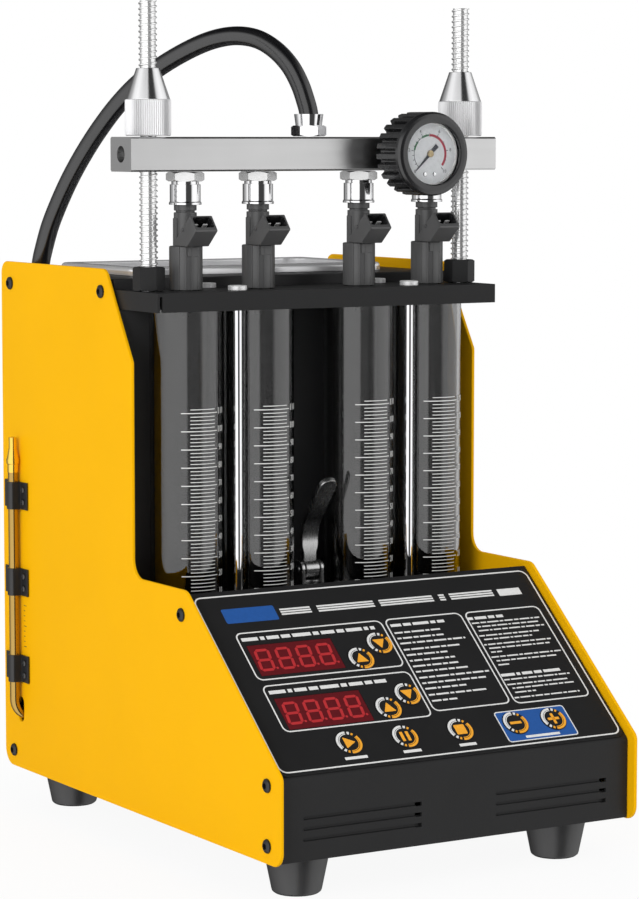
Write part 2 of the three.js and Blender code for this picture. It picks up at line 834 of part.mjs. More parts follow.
// Drain valve: a turned base with a fork that carries the lever's pin
const valveTop = baseTop + seatGap + valveHeight;
const pivotZ = baseTop + pivotHeight;
function drainValve() {
  const bottom = baseTop + seatGap;
  const base = rod(valveDiameter / 2, bottom, valveTop);
  const ears = [-1, 1].map((side) => {
    const [near, far] = onSide(side, forkWidth / 2 - forkEar, forkWidth / 2);
    const corners = [
      [-forkDepth / 2, bottom + valveHeight / 2],
      [forkDepth / 2, bottom + valveHeight / 2],
      [forkDepth / 2, pivotZ + forkDepth / 2, forkDepth / 3],
      [-forkDepth / 2, pivotZ + forkDepth / 2, forkDepth / 3],
    ];
    return acrossX(corners, (far - near) / 2).translate((near + far) / 2, 0, 0);
  });
  const pin = rod(pivotPin / 2, -forkWidth / 2, forkWidth / 2, smallSides).rotateY(Math.PI / 2);
  pin.translate(0, 0, pivotZ);
  return shaped([base, ...ears, pin]);
}
place("drain_valve", drainValve(), blackPlastic, machine, [0, standY, 0]);

// Drain lever: a bent blade on a hub that turns on the fork's pin
function drainLever() {
  const hubHalf = forkWidth / 2 - forkEar - seatGap;
  const hub = rod(leverHub, -hubHalf, hubHalf).rotateY(Math.PI / 2);
  const half = leverThickness / 2;
  const tip = [-leverReach, leverHeight];
  const knee = [0, leverKneeHeight];
  const lean = Math.atan2(leverReach, leverHeight - leverKneeHeight);
  const side = [half * Math.cos(lean), half * Math.sin(lean)];
  const corners = [
    [half, 0],
    [half, leverKneeHeight + half, leverKneeHeight / 3],
    [tip[0] + side[0], tip[1] + side[1], half / 2],
    [tip[0] - side[0], tip[1] - side[1], half / 2],
    [knee[0] - half, knee[1] - half, leverKneeHeight / 3],
    [-half, 0],
  ];
  const blade = acrossX(corners, leverWidth / 2);
  const bore = rod(pivotPin / 2 + seatGap, -forkWidth, forkWidth, smallSides).rotateY(Math.PI / 2);
  return shaped([hub, blade], [bore]);
}
place("drain_lever", drainLever(), blackPlastic, machine, [0, standY, pivotZ]);

// Injector plate: a shallow tray turned down round its edge, with a slot in one flange at each front corner
const rodPlaces = [-rodX, rodX];
function injectorPlate() {
  const half = innerHalf - plateEndGap;
  const front = standY - plateFront;
  const back = bulkheadY - seatGap;
  const low = plateTop - plateFlange;
  const under = low - overrun;
  const inX = half - sheet;
  const inY = front + sheet;
  const outer = block([-half, front, low], [half, back, plateTop]);
  const inner = block([-inX, inY, under], [inX, back - sheet, plateUnder]);
  const slots = [
    block([-inX, front - overrun, under], [-inX + plateCornerGap, inY + overrun, plateUnder]),
    block([inX - overrun, inY, under], [half + overrun, inY + plateCornerGap, plateUnder]),
  ];
  const hole = (diameter, sides) => rod(diameter / 2 + seatGap, low, plateTop + overrun, sides);
  const holes = [
    ...stationXs.map((x) => hole(nozzleDiameter).translate(x, standY, 0)),
    ...rodPlaces.map((x) => hole(rodDiameter).translate(x, standY, 0)),
    ...columnPlaces.map(([x, y]) => hole(columnDiameter, smallSides).translate(x, y, 0)),
  ];
  return shaped([outer], [inner, ...slots, ...holes]);
}
place("injector_plate", injectorPlate(), blackPaint);

// Threaded rods, each fixed in the plate with its lock nut, and the knurled nuts that press the rail down
function threadedRod() {
  const nutLow = plateTop + seatGap;
  const nut = hexBar(lockNutAcrossFlats, nutLow, nutLow + lockNutHeight);
  return shaped([rod(rodDiameter / 2, plateUnder, plateUnder + rodLength), nut]);
}

function knurledNut() {
  const bore = rodDiameter / 2 + rodClearance;
  const outer = knurlDiameter / 2;
  const profile = [
    [bore, 0],
    [outer - nutChamfer, 0],
    [outer, nutChamfer],
    [outer, knurlHeight - nutChamfer],
    [outer - nutChamfer, knurlHeight],
    [nutTopDiameter / 2, knurlHeight + nutConeHeight],
    [bore, knurlHeight + nutConeHeight],
  ];
  return ring(profile, roundSides);
}
rodPlaces.forEach((x) => {
  const side = x < 0 ? "left" : "right";
  place("threaded_rod_" + side, threadedRod(), brightAluminium, machine, [x, standY, 0]);
  place("knurled_nut_" + side, knurledNut(), brightAluminium, machine, [x, standY, railTop + seatGap]);
});

// Fuel rail: a drilled bar with a gallery along it and a port at each end
const gaugeX = columnX;
function fuelRail() {
  const front = -railDepth / 2;
  const back = railDepth / 2;
  const low = railBottom;
  const corners = [
    [front, low + railChamfer],
    [front + railChamfer, low],
    [back - railChamfer, low],
    [back, low + railChamfer],
    [back, railTop - railChamfer],
    [back - railChamfer, railTop],
    [front + railChamfer, railTop],
    [front, railTop - railChamfer],
  ];
  const bar = acrossX(corners, railHalf);
  const rodHoles = rodPlaces.map((x) => {
    const hole = rod(rodDiameter / 2 + rodClearance, low - overrun, railTop + overrun);
    return hole.translate(x, 0, 0);
  });
  const galleryHalf = rodX - rodDiameter / 2 - galleryEnd;
  const radius = galleryDiameter / 2;
  const gallery = rod(radius, -galleryHalf, galleryHalf, smallSides).rotateY(Math.PI / 2);
  const injectorDrillings = stationXs.map((x) => {
    const drilling = rod(radius, low - overrun, railMiddle, smallSides);
    return drilling.translate(x, 0, 0);
  });
  const hoseDrilling = rod(radius, railMiddle, railTop + overrun, smallSides);
  const gaugeDrilling = rod(radius, 0, railDepth, smallSides).rotateX(Math.PI / 2);
  const ports = [-1, 1].map((side) => {
    const [near, far] = onSide(side, railHalf - railPortDepth, railHalf + overrun);
    return rod(railPortDiameter / 2, near, far).rotateY(Math.PI / 2);
  });
  for (const passage of [gallery, gaugeDrilling, ...ports]) passage.translate(0, 0, railMiddle);
  gaugeDrilling.translate(gaugeX, 0, 0);
  const drillings = [gallery, ...injectorDrillings, hoseDrilling, gaugeDrilling];
  return shaped([bar], [...rodHoles, ...drillings, ...ports]);
}
place("fuel_rail", fuelRail(), brightAluminium, machine, [0, standY, 0]);

// Rail fittings: hexagon, neck and a bored barrel that takes the injector's inlet
function railFitting() {
  const hexLow = -seatGap - fittingHexHeight;
  const neckLow = hexLow - fittingNeckHeight;
  const lipTop = neckLow - fittingBarrelHeight;
  const lipLow = lipTop - fittingLipHeight;
  const barrel = turned([
    [0, lipLow],
    [fittingLipDiameter / 2, lipLow],
    [fittingLipDiameter / 2, lipTop],
    [fittingBarrelDiameter / 2, lipTop],
    [fittingBarrelDiameter / 2, neckLow],
    [fittingNeckDiameter / 2, neckLow],
    [fittingNeckDiameter / 2, hexLow + seatGap],
    [0, hexLow + seatGap],
  ]);
  const hexagon = hexBar(fittingHexAcross, hexLow, -seatGap);
  const bore = rod(fittingBore / 2, lipLow - overrun, neckLow);
  const passage = rod(galleryDiameter / 2, neckLow - seatGap, overrun, smallSides);
  return shaped([barrel, hexagon], [bore, passage]);
}

// Injectors: holder, body with its plug socket, and the sealed inlet that enters the rail fitting
const shoulder = seatGap + holderHeight;
function injector() {
  const groove = shoulder + injectorBodyHeight;
  const collar = groove + injectorGrooveHeight;
  const inlet = collar + injectorCollarHeight;
  const body = turned([
    [0, -nozzleLength],
    [nozzleDiameter / 2, -nozzleLength],
    [nozzleDiameter / 2, seatGap],
    [holderDiameter / 2, seatGap],
    [holderDiameter / 2, shoulder],
    [injectorBodyDiameter / 2, shoulder],
    [injectorBodyDiameter / 2, groove],
    [injectorGrooveDiameter / 2, groove],
    [injectorGrooveDiameter / 2, collar],
    [injectorCollarDiameter / 2, collar],
    [injectorCollarDiameter / 2, inlet],
    [inletDiameter / 2, inlet],
    [inletDiameter / 2, inlet + sealAbove],
    [sealDiameter / 2, inlet + sealAbove],
    [sealDiameter / 2, inlet + sealAbove + sealHeight],
    [inletDiameter / 2, inlet + sealAbove + sealHeight],
    [inletDiameter / 2, inlet + inletHeight],
    [0, inlet + inletHeight],
  ]);
  const lip = [-plugReach, shoulder + plugDrop];
  const along = ([y, z], distance) => [y + distance * Math.cos(plugAngle), z - distance * Math.sin(plugAngle)];
  const up = ([y, z], distance) => [y + distance * Math.sin(plugAngle), z + distance * Math.cos(plugAngle)];
  const mouthTop = up(lip, plugMouthHeight);
  const root = along(lip, plugLength);
  const corners = [
    lip,
    root,
    [0, root[1]],
    [0, along(mouthTop, mouthTop[0] / -Math.cos(plugAngle))[1]],
    mouthTop,
  ];
  const plug = acrossX(corners, plugWidth / 2);
  const floorStart = up(along(lip, -overrun), plugLip);
  const floorEnd = up(along(lip, plugSocketDepth), plugLip);
  const clearHeight = plugMouthHeight - plugLip - plugWall;
  const socketCorners = [floorStart, floorEnd, up(floorEnd, clearHeight), up(floorStart, clearHeight)];
  const socket = acrossX(socketCorners, plugWidth / 2 - plugWall);
  const contacts = [-1, 1].map((side) => {
    const base = up(along(floorEnd, plugPinLength), clearHeight / 2 - plugPinThickness / 2);
    const end = along(base, -2 * plugPinLength);
    const sides = [base, up(base, plugPinThickness), up(end, plugPinThickness), end];
    const pin = acrossX(sides.reverse(), plugPinWidth / 2);
    return pin.translate((side * plugPinSpacing) / 2, 0, 0);
  });
  return shaped([body, shaped([plug], [socket]), ...contacts]);
}
stationXs.forEach((x, i) => {
  place("injector_" + (i + 1), injector(), blackPlastic, machine, [x, standY, plateTop]);
  place("rail_fitting_" + (i + 1), railFitting(), polishedSteel, machine, [x, standY, railBottom]);
});

// Pressure gauge, drawn face on: its own Z points out of the dial, and zero is the rail's front face
const gauge = new THREE.Group();
gauge.position.set(gaugeX, railFront, railMiddle);
gauge.rotation.x = Math.PI / 2;
machine.add(gauge);
const gaugeFront = gaugeStem + gaugeDepth;
const dialFace = gaugeFront - dialInset;

function gaugeCase() {
  const outer = gaugeDiameter / 2;
  const cup = rod(outer, gaugeStem, gaugeFront, roundSides);
  const stem = hexBar(gaugeStemAcross, seatGap, gaugeStem + overrun);
  const hollow = rod(outer - gaugeWall, dialFace - dialThickness - seatGap, gaugeFront + overrun, roundSides);
  const movement = rod(needleHub, gaugeStem + overrun, gaugeFront, smallSides);
  const inlet = rod(gaugeStemBore / 2, -overrun, gaugeStem + overrun + seatGap, smallSides);
  return shaped([cup, stem], [hollow, inlet, movement]);
}
place("gauge_case", gaugeCase(), blackPlastic, gauge);

function gaugeDial() {
  const radius = gaugeDiameter / 2 - gaugeWall - seatGap;
  const bore = needlePin / 2 + seatGap;
  const low = dialFace - dialThickness;
  return ring([[bore, low], [radius, low], [radius, dialFace], [bore, dialFace]], roundSides);
}
place("gauge_dial", gaugeDial(), whiteEnamel, gauge);

function gaugeNeedle() {
  const half = needleWidth / 2;
  const low = dialFace + seatGap;
  const corners = [
    [-needleTail, -half],
    [0, -half],
    [needleLength, 0],
    [0, half],
    [-needleTail, half],
  ];
  const arrow = upZ(corners, low, low + needleThickness);
  const hub = rod(needleHub / 2, low, low + 2 * needleThickness, smallSides);
  const pin = rod(needlePin / 2, dialFace - dialThickness - 2 * needleHub, low + needleThickness, smallSides);
  return shaped([arrow.rotateZ(needleZero), hub, pin]);
}
place("gauge_needle", gaugeNeedle(), needleBlack, gauge);

const lensTop = gaugeFront - lensInset;
const gaugeLens = rod(gaugeDiameter / 2 - gaugeWall - seatGap, lensTop - lensThickness, lensTop, roundSides);
place("gauge_lens", gaugeLens, clearGlass, gauge);

function gaugeBoot() {
  const outer = bootDiameter / 2;
  const front = gaugeFront + seatGap + bootLip;
  const step = (2 * Math.PI) / bootRibs;
  const ribShares = [0, 0.42, 0.5, 0.92]; // of one rib's step: crest, crest, root, root
  const points = Array.from({ length: bootRibs }, (_, i) =>
    ribShares.map((share, corner) => {
      const radius = corner < ribShares.length / 2 ? outer : outer - bootRibDepth;
      const angle = (i + share) * step;
      return [radius * Math.cos(angle), radius * Math.sin(angle)];
    }),
  ).flat();
  const ribbed = upZ(points, gaugeStem, front - bootRim);
  const rim = rod(outer, front - bootRim - seatGap, front, roundSides);
  const bore = rod(gaugeDiameter / 2 + seatGap, gaugeStem - overrun, gaugeFront + seatGap, roundSides);
  const window = rod(gaugeDialDiameter / 2, gaugeFront - overrun, front + overrun, roundSides);
  return shaped([ribbed, rim], [bore, window]);
}
place("gauge_boot", gaugeBoot(), blackRubber, gauge);

// Supply hose with its fittings on the rail and in the deck
function railHoseFitting() {
  const low = seatGap;
  const hexTop = low + hoseHexHeight;
  const top = hexTop + ferruleHeight;
  const ferrule = turned([
    [0, hexTop - seatGap],
    [ferruleBottomDiameter / 2, hexTop - seatGap],
    [ferruleBottomDiameter / 2, hexTop],
    [ferruleTopDiameter / 2, top],
    [0, top],
  ]);
  const socket = rod(hoseDiameter / 2 + 2 * seatGap, top - hoseBite - seatGap, top + overrun);
  const passage = rod(galleryDiameter / 2, low - overrun, top, smallSides);
  return shaped([hexBar(hoseHexAcross, low, hexTop), ferrule], [socket, passage]);
}
place("rail_hose_fitting", railHoseFitting(), polishedSteel, machine, [0, standY, railTop]);

function deckHoseFitting() {
  const body = deckFittingBody / 2;
  const flange = deckFittingFlange / 2;
  const profile = [
    [0, -deckFittingDrop],
    [body, -deckFittingDrop],
    [body, seatGap],
    [flange, seatGap],
    [flange, seatGap + deckFittingHeight / 2],
    [flange - deckFittingHeight / 2, seatGap + deckFittingHeight],
    [0, seatGap + deckFittingHeight],
  ];
  const socket = rod(hoseDiameter / 2 + 2 * seatGap, hoseRoute[0][1] - seatGap, overrun);
  return shaped([turned(profile)], [socket]);
}
place("deck_hose_fitting", deckHoseFitting(), blackRubber, machine, [deckFittingX, deckFittingY, deckTop]);

function supplyHose() {
  const start = new THREE.Vector3(deckFittingX, deckFittingY, deckTop);
  const towards = new THREE.Vector3(0, standY, deckTop).sub(start).normalize();
  const points = hoseRoute.map(([run, rise]) => {
    const point = start.clone().addScaledVector(towards, run);
    return point.setZ(deckTop + rise);
  });
  const route = new THREE.CatmullRomCurve3(points, false, "centripetal");
  return tubeAlong(route, hoseDiameter / 2, hoseSteps);
}
place("supply_hose", supplyHose(), blackRubber);

// Ultrasonic bath: a rimmed tank that hangs in the deck, with its transducer under the floor
function ultrasonicTank() {
  const rimLow = deckTop + seatGap;
  const rimTop = rimLow + tankRimHeight;
  const outerWidth = tankWidth / 2 - tankRim;
  const outerDepth = tankDepth / 2 - tankRim;
  const bathLow = rimTop - bathDepth;
  const rim = roundedBox(tankWidth / 2, tankDepth / 2, tankRimCorner, rimLow, rimTop);
  const tub = roundedBox(outerWidth, outerDepth, tankCorner, bathLow - tankSheet, rimTop);
  const bath = roundedBox(
    outerWidth - tankSheet,
    outerDepth - tankSheet,
    tankCorner - tankSheet,
    bathLow,
    rimTop + overrun,
  );
  const rimHollow = roundedBox(
    tankWidth / 2 - tankSheet,
    tankDepth / 2 - tankSheet,
    tankRimCorner - tankSheet,
    rimLow - overrun,
    rimTop - tankSheet,
  );
  const transducerLow = bathLow - transducerHeight;
  const transducerTop = bathLow - transducerHeight / 2;
  const transducer = rod(transducerDiameter / 2, transducerLow, transducerTop);
  const stud = rod(transducerStud / 2, transducerTop - seatGap, bathLow - tankSheet / 2, smallSides);
  const skirt = shaped([rim], [rimHollow]);
  return shaped([skirt, tub, transducer, stud], [bath]);
}
place("ultrasonic_tank", ultrasonicTank(), polishedSteel, machine, [0, tankMiddle, 0]);

// Reservoir for the test fluid, in the cabinet behind the bulkhead
function fluidReservoir() {
  const half = coverHalf - reservoirMargin;
  const front = deckFront + reservoirMargin;
  const back = backInner - moduleBodyDepth - reservoirMargin;
  const low = panFloor + seatGap;
  const outer = block([-half, front, low], [half, back, low + reservoirHeight]);
  const inner = block(
    [-half + reservoirWall, front + reservoirWall, low + reservoirWall],
    [half - reservoirWall, back - reservoirWall, low + reservoirHeight - reservoirWall],
  );
  const neck = rod(reservoirNeck / 2, low + reservoirWall, low + reservoirHeight + overrun);
  return shaped([outer], [inner, neck.translate(0, (front + back) / 2, 0)]);
}
place("fluid_reservoir", fluidReservoir(), whitePlastic);

// Power inlet module: flange, body, mains socket and the pocket for the rocker. Its Y starts at the cover's face.
const socketZ = -moduleHeight / 4 + moduleMargin / 2;
const rockerZ = moduleHeight / 4 + moduleMargin / 2;
function powerInlet() {
  const halfWidth = moduleWidth / 2;
  const halfHeight = moduleHeight / 2;
  const flange = block([-halfWidth, seatGap, -halfHeight], [halfWidth, seatGap + moduleFlange, halfHeight]);
  const body = block(
    [moduleMargin - halfWidth, -moduleBodyDepth, moduleMargin - halfHeight],
    [halfWidth - moduleMargin, seatGap + moduleFlange / 2, halfHeight - moduleMargin],
  );
  const face = seatGap + moduleFlange;
  const socket = block(
    [-socketWidth / 2, face - socketDepth, socketZ - socketHeight / 2],
    [socketWidth / 2, face + overrun, socketZ + socketHeight / 2],
  );
  const pocket = block(
    [-rockerWidth / 2 - seatGap, face - rockerDepth - moduleMargin, rockerZ - rockerHeight / 2 - seatGap],
    [rockerWidth / 2 + seatGap, face + overrun, rockerZ + rockerHeight / 2 + seatGap],
  );
  const socketFloor = face - socketDepth;
  const contacts = [-1, 0, 1].map((column) => {
    const middle = socketZ + (column === 0 ? contactSize : -contactSize);
    const left = column * contactSpacing - contactSize / 2;
    const low = [left, socketFloor - contactSize, middle - contactSize / 2];
    return block(low, [left + contactSize, socketFloor + contactLength, low[2] + contactSize]);
  });
  const housing = shaped([flange, body], [socket, pocket]);
  return shaped([housing, ...contacts]);
}
place("power_inlet", powerInlet(), blackPlastic, machine, [inletX, backFace, inletCentreHeight]);

// Rocker of the power switch, tilted to off. Its pivot is inside the module.
const rockerPlace = [inletX, backFace + seatGap + moduleFlange - rockerDepth / 2, inletCentreHeight + rockerZ];
function powerRocker() {
  const half = rockerHeight / 2 - seatGap;
  const rise = half * Math.tan(rockerTilt);
  const front = rockerDepth / 2;
  const corners = [
    [-rockerPin, -half / 2],
    [front - rise, -half],
    [front, 0],
    [front - rise, half],
    [-rockerPin, half / 2],
  ];
  return acrossX(corners, rockerWidth / 2 - seatGap).rotateX(-rockerTilt);
}
place("power_switch", powerRocker(), blackPlastic, machine, rockerPlace);

// Level gauge on the left panel: a sight tube that turns in through the panel, its spout and three strap clips
function levelGauge() {
  const radius = sightTubeDiameter / 2;
  const inward = sightTubeBend + panelThickness;
  const path = new THREE.CurvePath();
  const top = new THREE.Vector3(0, 0, sightTubeTop);
  const bendStart = new THREE.Vector3(0, 0, sightTubeBottom + sightTubeBend);
  const corner = new THREE.Vector3(0, 0, sightTubeBottom);
  const bendEnd = new THREE.Vector3(sightTubeBend, 0, sightTubeBottom);
  path.add(new THREE.LineCurve3(top, bendStart));
  path.add(new THREE.QuadraticBezierCurve3(bendStart, corner, bendEnd));
  path.add(new THREE.LineCurve3(bendEnd, new THREE.Vector3(inward, 0, sightTubeBottom)));
  const tube = tubeAlong(path, radius, mediumSides);
  const spout = turned(
    [
      [0, sightTubeTop - radius],
      [spoutRootDiameter / 2, sightTubeTop - radius],
      [spoutRootDiameter / 2, sightTubeTop + spoutHeight / 2],
      [spoutTipDiameter / 2, sightTubeTop + spoutHeight],
      [0, sightTubeTop + spoutHeight],
    ],
    smallSides,
  );
  const wallSide = radius + sightTubeGap - seatGap;
  const clips = clipDrops.map((drop) => {
    const height = sightTubeTop - drop;
    const tab = block(
      [wallSide - clipThickness, -clipFront, height - clipHeight / 2],
      [wallSide, clipRear, height + clipHeight / 2],
    );
    const arch = rod(radius + clipThickness, height - clipHeight / 2, height + clipHeight / 2, smallSides);
    const trimmed = block(
      [-2 * sightTubeDiameter, -sightTubeDiameter, height - clipHeight / 2],
      [wallSide, sightTubeDiameter, height + clipHeight / 2],
    );
    const bow = toSolid(arch).intersect(toSolid(trimmed));
    return toSolid(tab).add(bow);
  });
  const solid = clips.reduce((joined, clip) => joined.add(clip), toSolid(tube).add(toSolid(spout)));
  return toGeometry(solid);
}
place("level_gauge", levelGauge(), brassMetal, machine, [sightTubeX, sightTubeY, 0]);

// Rubber feet under the base pan
function rubberFoot() {
  const top = panelEdgeDrop - seatGap;
  const bottom = -footStandHeight;
  const profile = [
    [0, bottom],
    [footBottomDiameter / 2 - footEdge, bottom],
    [footBottomDiameter / 2, bottom + footEdge],
    [footTopDiameter / 2, top],
    [0, top],
  ];
  return turned(profile, roundSides);
}
const footX = cabinetHalf - footInset;
for (const [end, y] of [["front", footFrontSetback], ["rear", cabinetDepth - footRearSetback]]) {
  place("foot_" + end + "_left", rubberFoot(), blackRubber, machine, [-footX, y, 0]);
  place("foot_" + end + "_right", rubberFoot(), blackRubber, machine, [footX, y, 0]);
}

const injectorTester = new THREE.Group();
injectorTester.add(machine);
export default injectorTester;
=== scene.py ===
# Looks of a bench machine that cleans and tests fuel injectors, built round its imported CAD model.
# Shapes are drawn in millimetres from the cabinet's middle, its front edge and its bottom edge, and each
# finished piece is brought into metres in the CAD model's own frame.
import math

import bmesh
import bpy
from bpy.props import FloatProperty, FloatVectorProperty, IntProperty, PointerProperty
from mathutils import Matrix, Vector


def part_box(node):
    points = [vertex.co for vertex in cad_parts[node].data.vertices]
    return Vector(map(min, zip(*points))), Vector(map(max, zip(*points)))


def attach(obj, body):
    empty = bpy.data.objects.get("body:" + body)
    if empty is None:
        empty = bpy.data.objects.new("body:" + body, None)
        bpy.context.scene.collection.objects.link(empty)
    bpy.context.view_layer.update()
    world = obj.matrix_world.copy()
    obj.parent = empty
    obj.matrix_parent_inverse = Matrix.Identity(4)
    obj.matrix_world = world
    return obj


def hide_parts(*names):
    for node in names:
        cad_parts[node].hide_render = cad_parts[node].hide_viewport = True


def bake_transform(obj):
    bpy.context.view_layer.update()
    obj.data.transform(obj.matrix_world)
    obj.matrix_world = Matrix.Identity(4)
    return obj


bl_info = {
    "name": "Fuel injector tester",
    "version": (1, 0, 0),
    "blender": (4, 5, 0),
    "location": "3D View > Sidebar > Tester",
    "description": "Builds the looks of a bench machine that cleans and tests fuel injectors",
    "category": "Object",
}

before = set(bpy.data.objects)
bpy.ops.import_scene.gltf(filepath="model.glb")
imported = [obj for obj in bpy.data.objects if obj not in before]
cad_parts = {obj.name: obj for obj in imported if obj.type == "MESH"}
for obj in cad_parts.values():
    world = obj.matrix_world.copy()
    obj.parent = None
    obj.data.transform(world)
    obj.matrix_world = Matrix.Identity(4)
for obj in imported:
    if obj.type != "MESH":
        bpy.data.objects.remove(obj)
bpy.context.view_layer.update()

MM = 0.001
UP = Vector((0, 0, 1))
panel_corner = Vector(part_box("left_side_panel")[0]) / MM
STAND = Vector((0, panel_corner.y, panel_corner.z))  # the drawing's origin in the CAD frame
TO_FRAME = Matrix.Scale(MM, 4) @ Matrix.Translation(STAND)
ACROSS = Matrix(((0, 0, 1, 0), (1, 0, 0, 0), (0, 1, 0, 0), (0, 0, 0, 1)))  # (y, z) drawn out along X
UPRIGHT = Matrix(((1, 0, 0, 0), (0, 0, -1, 0), (0, 1, 0, 0), (0, 0, 0, 1)))  # (x, z) drawn out along -Y
ALONG_X = Matrix.Rotation(math.pi / 2, 4, "Y")


def span(node):
    """Lowest and highest corner of a CAD node, in the drawing's millimetres"""
    return [Vector(corner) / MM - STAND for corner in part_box(node)]


def middle(node):
    low, high = span(node)
    return (low + high) / 2


# Places that several pieces share, read from the CAD model
PANEL_LOW, PANEL_HIGH = span("left_side_panel")
RAIL_FRONT = span("fuel_rail")[0].y
PLATE_TOP = span("injector_plate")[1].z
TUBE_XS = [middle("measuring_tube_%d" % number).x for number in range(1, 5)]
STAND_Y = middle("measuring_tube_1").y
ROD_X = middle("knurled_nut_right").x

# The side panels' outline
NOSE_HEIGHT, SLOPE_RUN, SHELF_HEIGHT = 46.7, 99.6, 130.2
CROWN_DROP, CROWN_LEAN = 49.5, 30.4
# The control face: its fold, its slope and how far it lies inside the panels' edges
COVER_RECESS, SLOPE_RECESS, COVER_SLANT, COVER_FLANGE = 6.0, 5.5, 129.0, 15.0
SHEET, GAP = 1.5, 0.3
SLOPE = math.atan2(SHELF_HEIGHT - NOSE_HEIGHT, SLOPE_RUN)
FOLD = NOSE_HEIGHT + COVER_RECESS * math.tan(SLOPE) - SLOPE_RECESS / math.cos(SLOPE)
FACE = Matrix.Translation((0, COVER_RECESS, FOLD)) @ Matrix.Rotation(SLOPE, 4, "X")
FILM_LOW, FILM_TOP = 0.3, 0.8
INK = 0.06


# Drawing with bmesh

def sharp_edges(part, degrees):
    limit = math.radians(degrees)
    return [e for e in part.edges if len(e.link_faces) == 2 and e.calc_face_angle(0) > limit]


def round_edges(part, edges, width, segments):
    bmesh.ops.bevel(part, geom=edges, offset=width, offset_type="OFFSET", segments=segments, profile=0.5,
                    affect="EDGES", clamp_overlap=True, material=-1)


def soften(part, width, segments=2, degrees=40):
    """Rounds the sharp edges of a part"""
    round_edges(part, sharp_edges(part, degrees), width, segments)


def add(bm, part, place=None):
    """Adds a drawn part to a piece"""
    bmesh.ops.remove_doubles(part, verts=part.verts[:], dist=MM)
    bmesh.ops.recalc_face_normals(part, faces=part.faces[:])
    if place is not None:
        bmesh.ops.transform(part, matrix=place, verts=part.verts[:])
    mesh = bpy.data.meshes.new("part")
    part.to_mesh(mesh)
    part.free()
    bm.from_mesh(mesh)
    bpy.data.meshes.remove(mesh)


def box(bm, low, high, soft=0.0, place=None):
    part = bmesh.new()
    bmesh.ops.create_cube(part, size=1)
    size = [b - a for a, b in zip(low, high)]
    bmesh.ops.scale(part, vec=size, verts=part.verts[:])
    bmesh.ops.translate(part, vec=[(a + b) / 2 for a, b in zip(low, high)], verts=part.verts[:])
    if soft:
        soften(part, soft)
    add(bm, part, place)


def outline_face(part, corners, segments):
    """A flat face whose (across, up, radius) corners are rounded"""
    points = [Vector((corner[0], corner[1], 0)) for corner in corners]
    verts = [part.verts.new(point) for point in points]
    part.faces.new(verts)
    for i, corner in enumerate(corners):
        radius = corner[2] if len(corner) > 2 else 0
        if radius <= 0:
            continue
        half = (points[i - 1] - points[i]).angle(points[(i + 1) % len(points)] - points[i]) / 2
        bmesh.ops.bevel(part, geom=[verts[i]], offset=radius / math.tan(half), offset_type="OFFSET",
                        segments=segments, profile=0.5, affect="VERTICES", clamp_overlap=False, material=-1)


def raise_faces(part, low, high):
    """Turns flat faces at height zero into a solid from one height to another"""
    bmesh.ops.translate(part, vec=(0, 0, low), verts=part.verts[:])
    raised = bmesh.ops.extrude_face_region(part, geom=part.faces[:])
    top = [item for item in raised["geom"] if isinstance(item, bmesh.types.BMVert)]
    bmesh.ops.translate(part, vec=(0, 0, high - low), verts=top)
    bmesh.ops.recalc_face_normals(part, faces=part.faces[:])


def plate(bm, corners, low, high, soft=0.0, place=None, segments=6):
    part = bmesh.new()
    outline_face(part, corners, segments)
    raise_faces(part, low, high)
    if soft:
        soften(part, soft, degrees=50)
    add(bm, part, place)


def rectangle(low, high, radius=0.0):
    (left, bottom), (right, top) = low, high
    return [(left, bottom, radius), (right, bottom, radius), (right, top, radius), (left, top, radius)]


def line_frame(bm, corners, width, low, high, place=None):
    """A line of even width that runs round inside an outline"""
    part = bmesh.new()
    outline_face(part, corners, 6)
    inner = part.faces[:]
    bmesh.ops.inset_region(part, faces=inner, thickness=width, use_even_offset=True, use_boundary=True)
    bmesh.ops.delete(part, geom=inner, context="FACES_ONLY")
    raise_faces(part, low, high)
    add(bm, part, place)


def turned(bm, profile, place=None, steps=48, soft=0.0, closed=False, angle=2 * math.pi):
    """A solid of revolution about Z from (radius, height) points"""
    part = bmesh.new()
    verts = [part.verts.new((radius, 0, height)) for radius, height in profile]
    pairs = list(zip(verts, verts[1:])) + ([(verts[-1], verts[0])] if closed else [])
    for pair in pairs:
        part.edges.new(pair)
    if soft:
        inner = verts if closed else verts[1:-1]
        bmesh.ops.bevel(part, geom=inner, offset=soft, offset_type="OFFSET", segments=2, profile=0.5,
                        affect="VERTICES", clamp_overlap=True, material=-1)
    bmesh.ops.spin(part, geom=part.verts[:] + part.edges[:], cent=(0, 0, 0), axis=(0, 0, 1), angle=angle,
                   steps=steps, use_merge=True)
    add(bm, part, place)


def rod(bm, radius, low, high, place=None, steps=32, soft=0.0):
    turned(bm, [(0, low), (radius, low), (radius, high), (0, high)], place, steps, soft)


def arc(bm, inner, outer, start, end, low, high, place=None):
    """A flat band of a ring between two angles in degrees"""
    part = bmesh.new()
    ring = [part.verts.new((x, 0, z)) for x, z in ((inner, low), (outer, low), (outer, high), (inner, high))]
    face = part.faces.new(ring)
    steps = max(2, round(abs(end - start) / 10))
    turn = Matrix.Rotation(math.radians(start), 3, "Z")
    bmesh.ops.rotate(part, cent=(0, 0, 0), matrix=turn, verts=part.verts[:])
    bmesh.ops.spin(part, geom=[face] + part.edges[:] + part.verts[:], cent=(0, 0, 0), axis=(0, 0, 1),
                   angle=math.radians(end - start), steps=steps, use_merge=False)
    bmesh.ops.holes_fill(part, edges=part.edges[:], sides=0)
    add(bm, part, place)


def hexagon(across_flats, turn=0.0):
    radius = across_flats / 2 / math.cos(math.pi / 6)
    angles = [turn + side * math.pi / 3 for side in range(6)]
    return [(radius * math.cos(angle), radius * math.sin(angle)) for angle in angles]


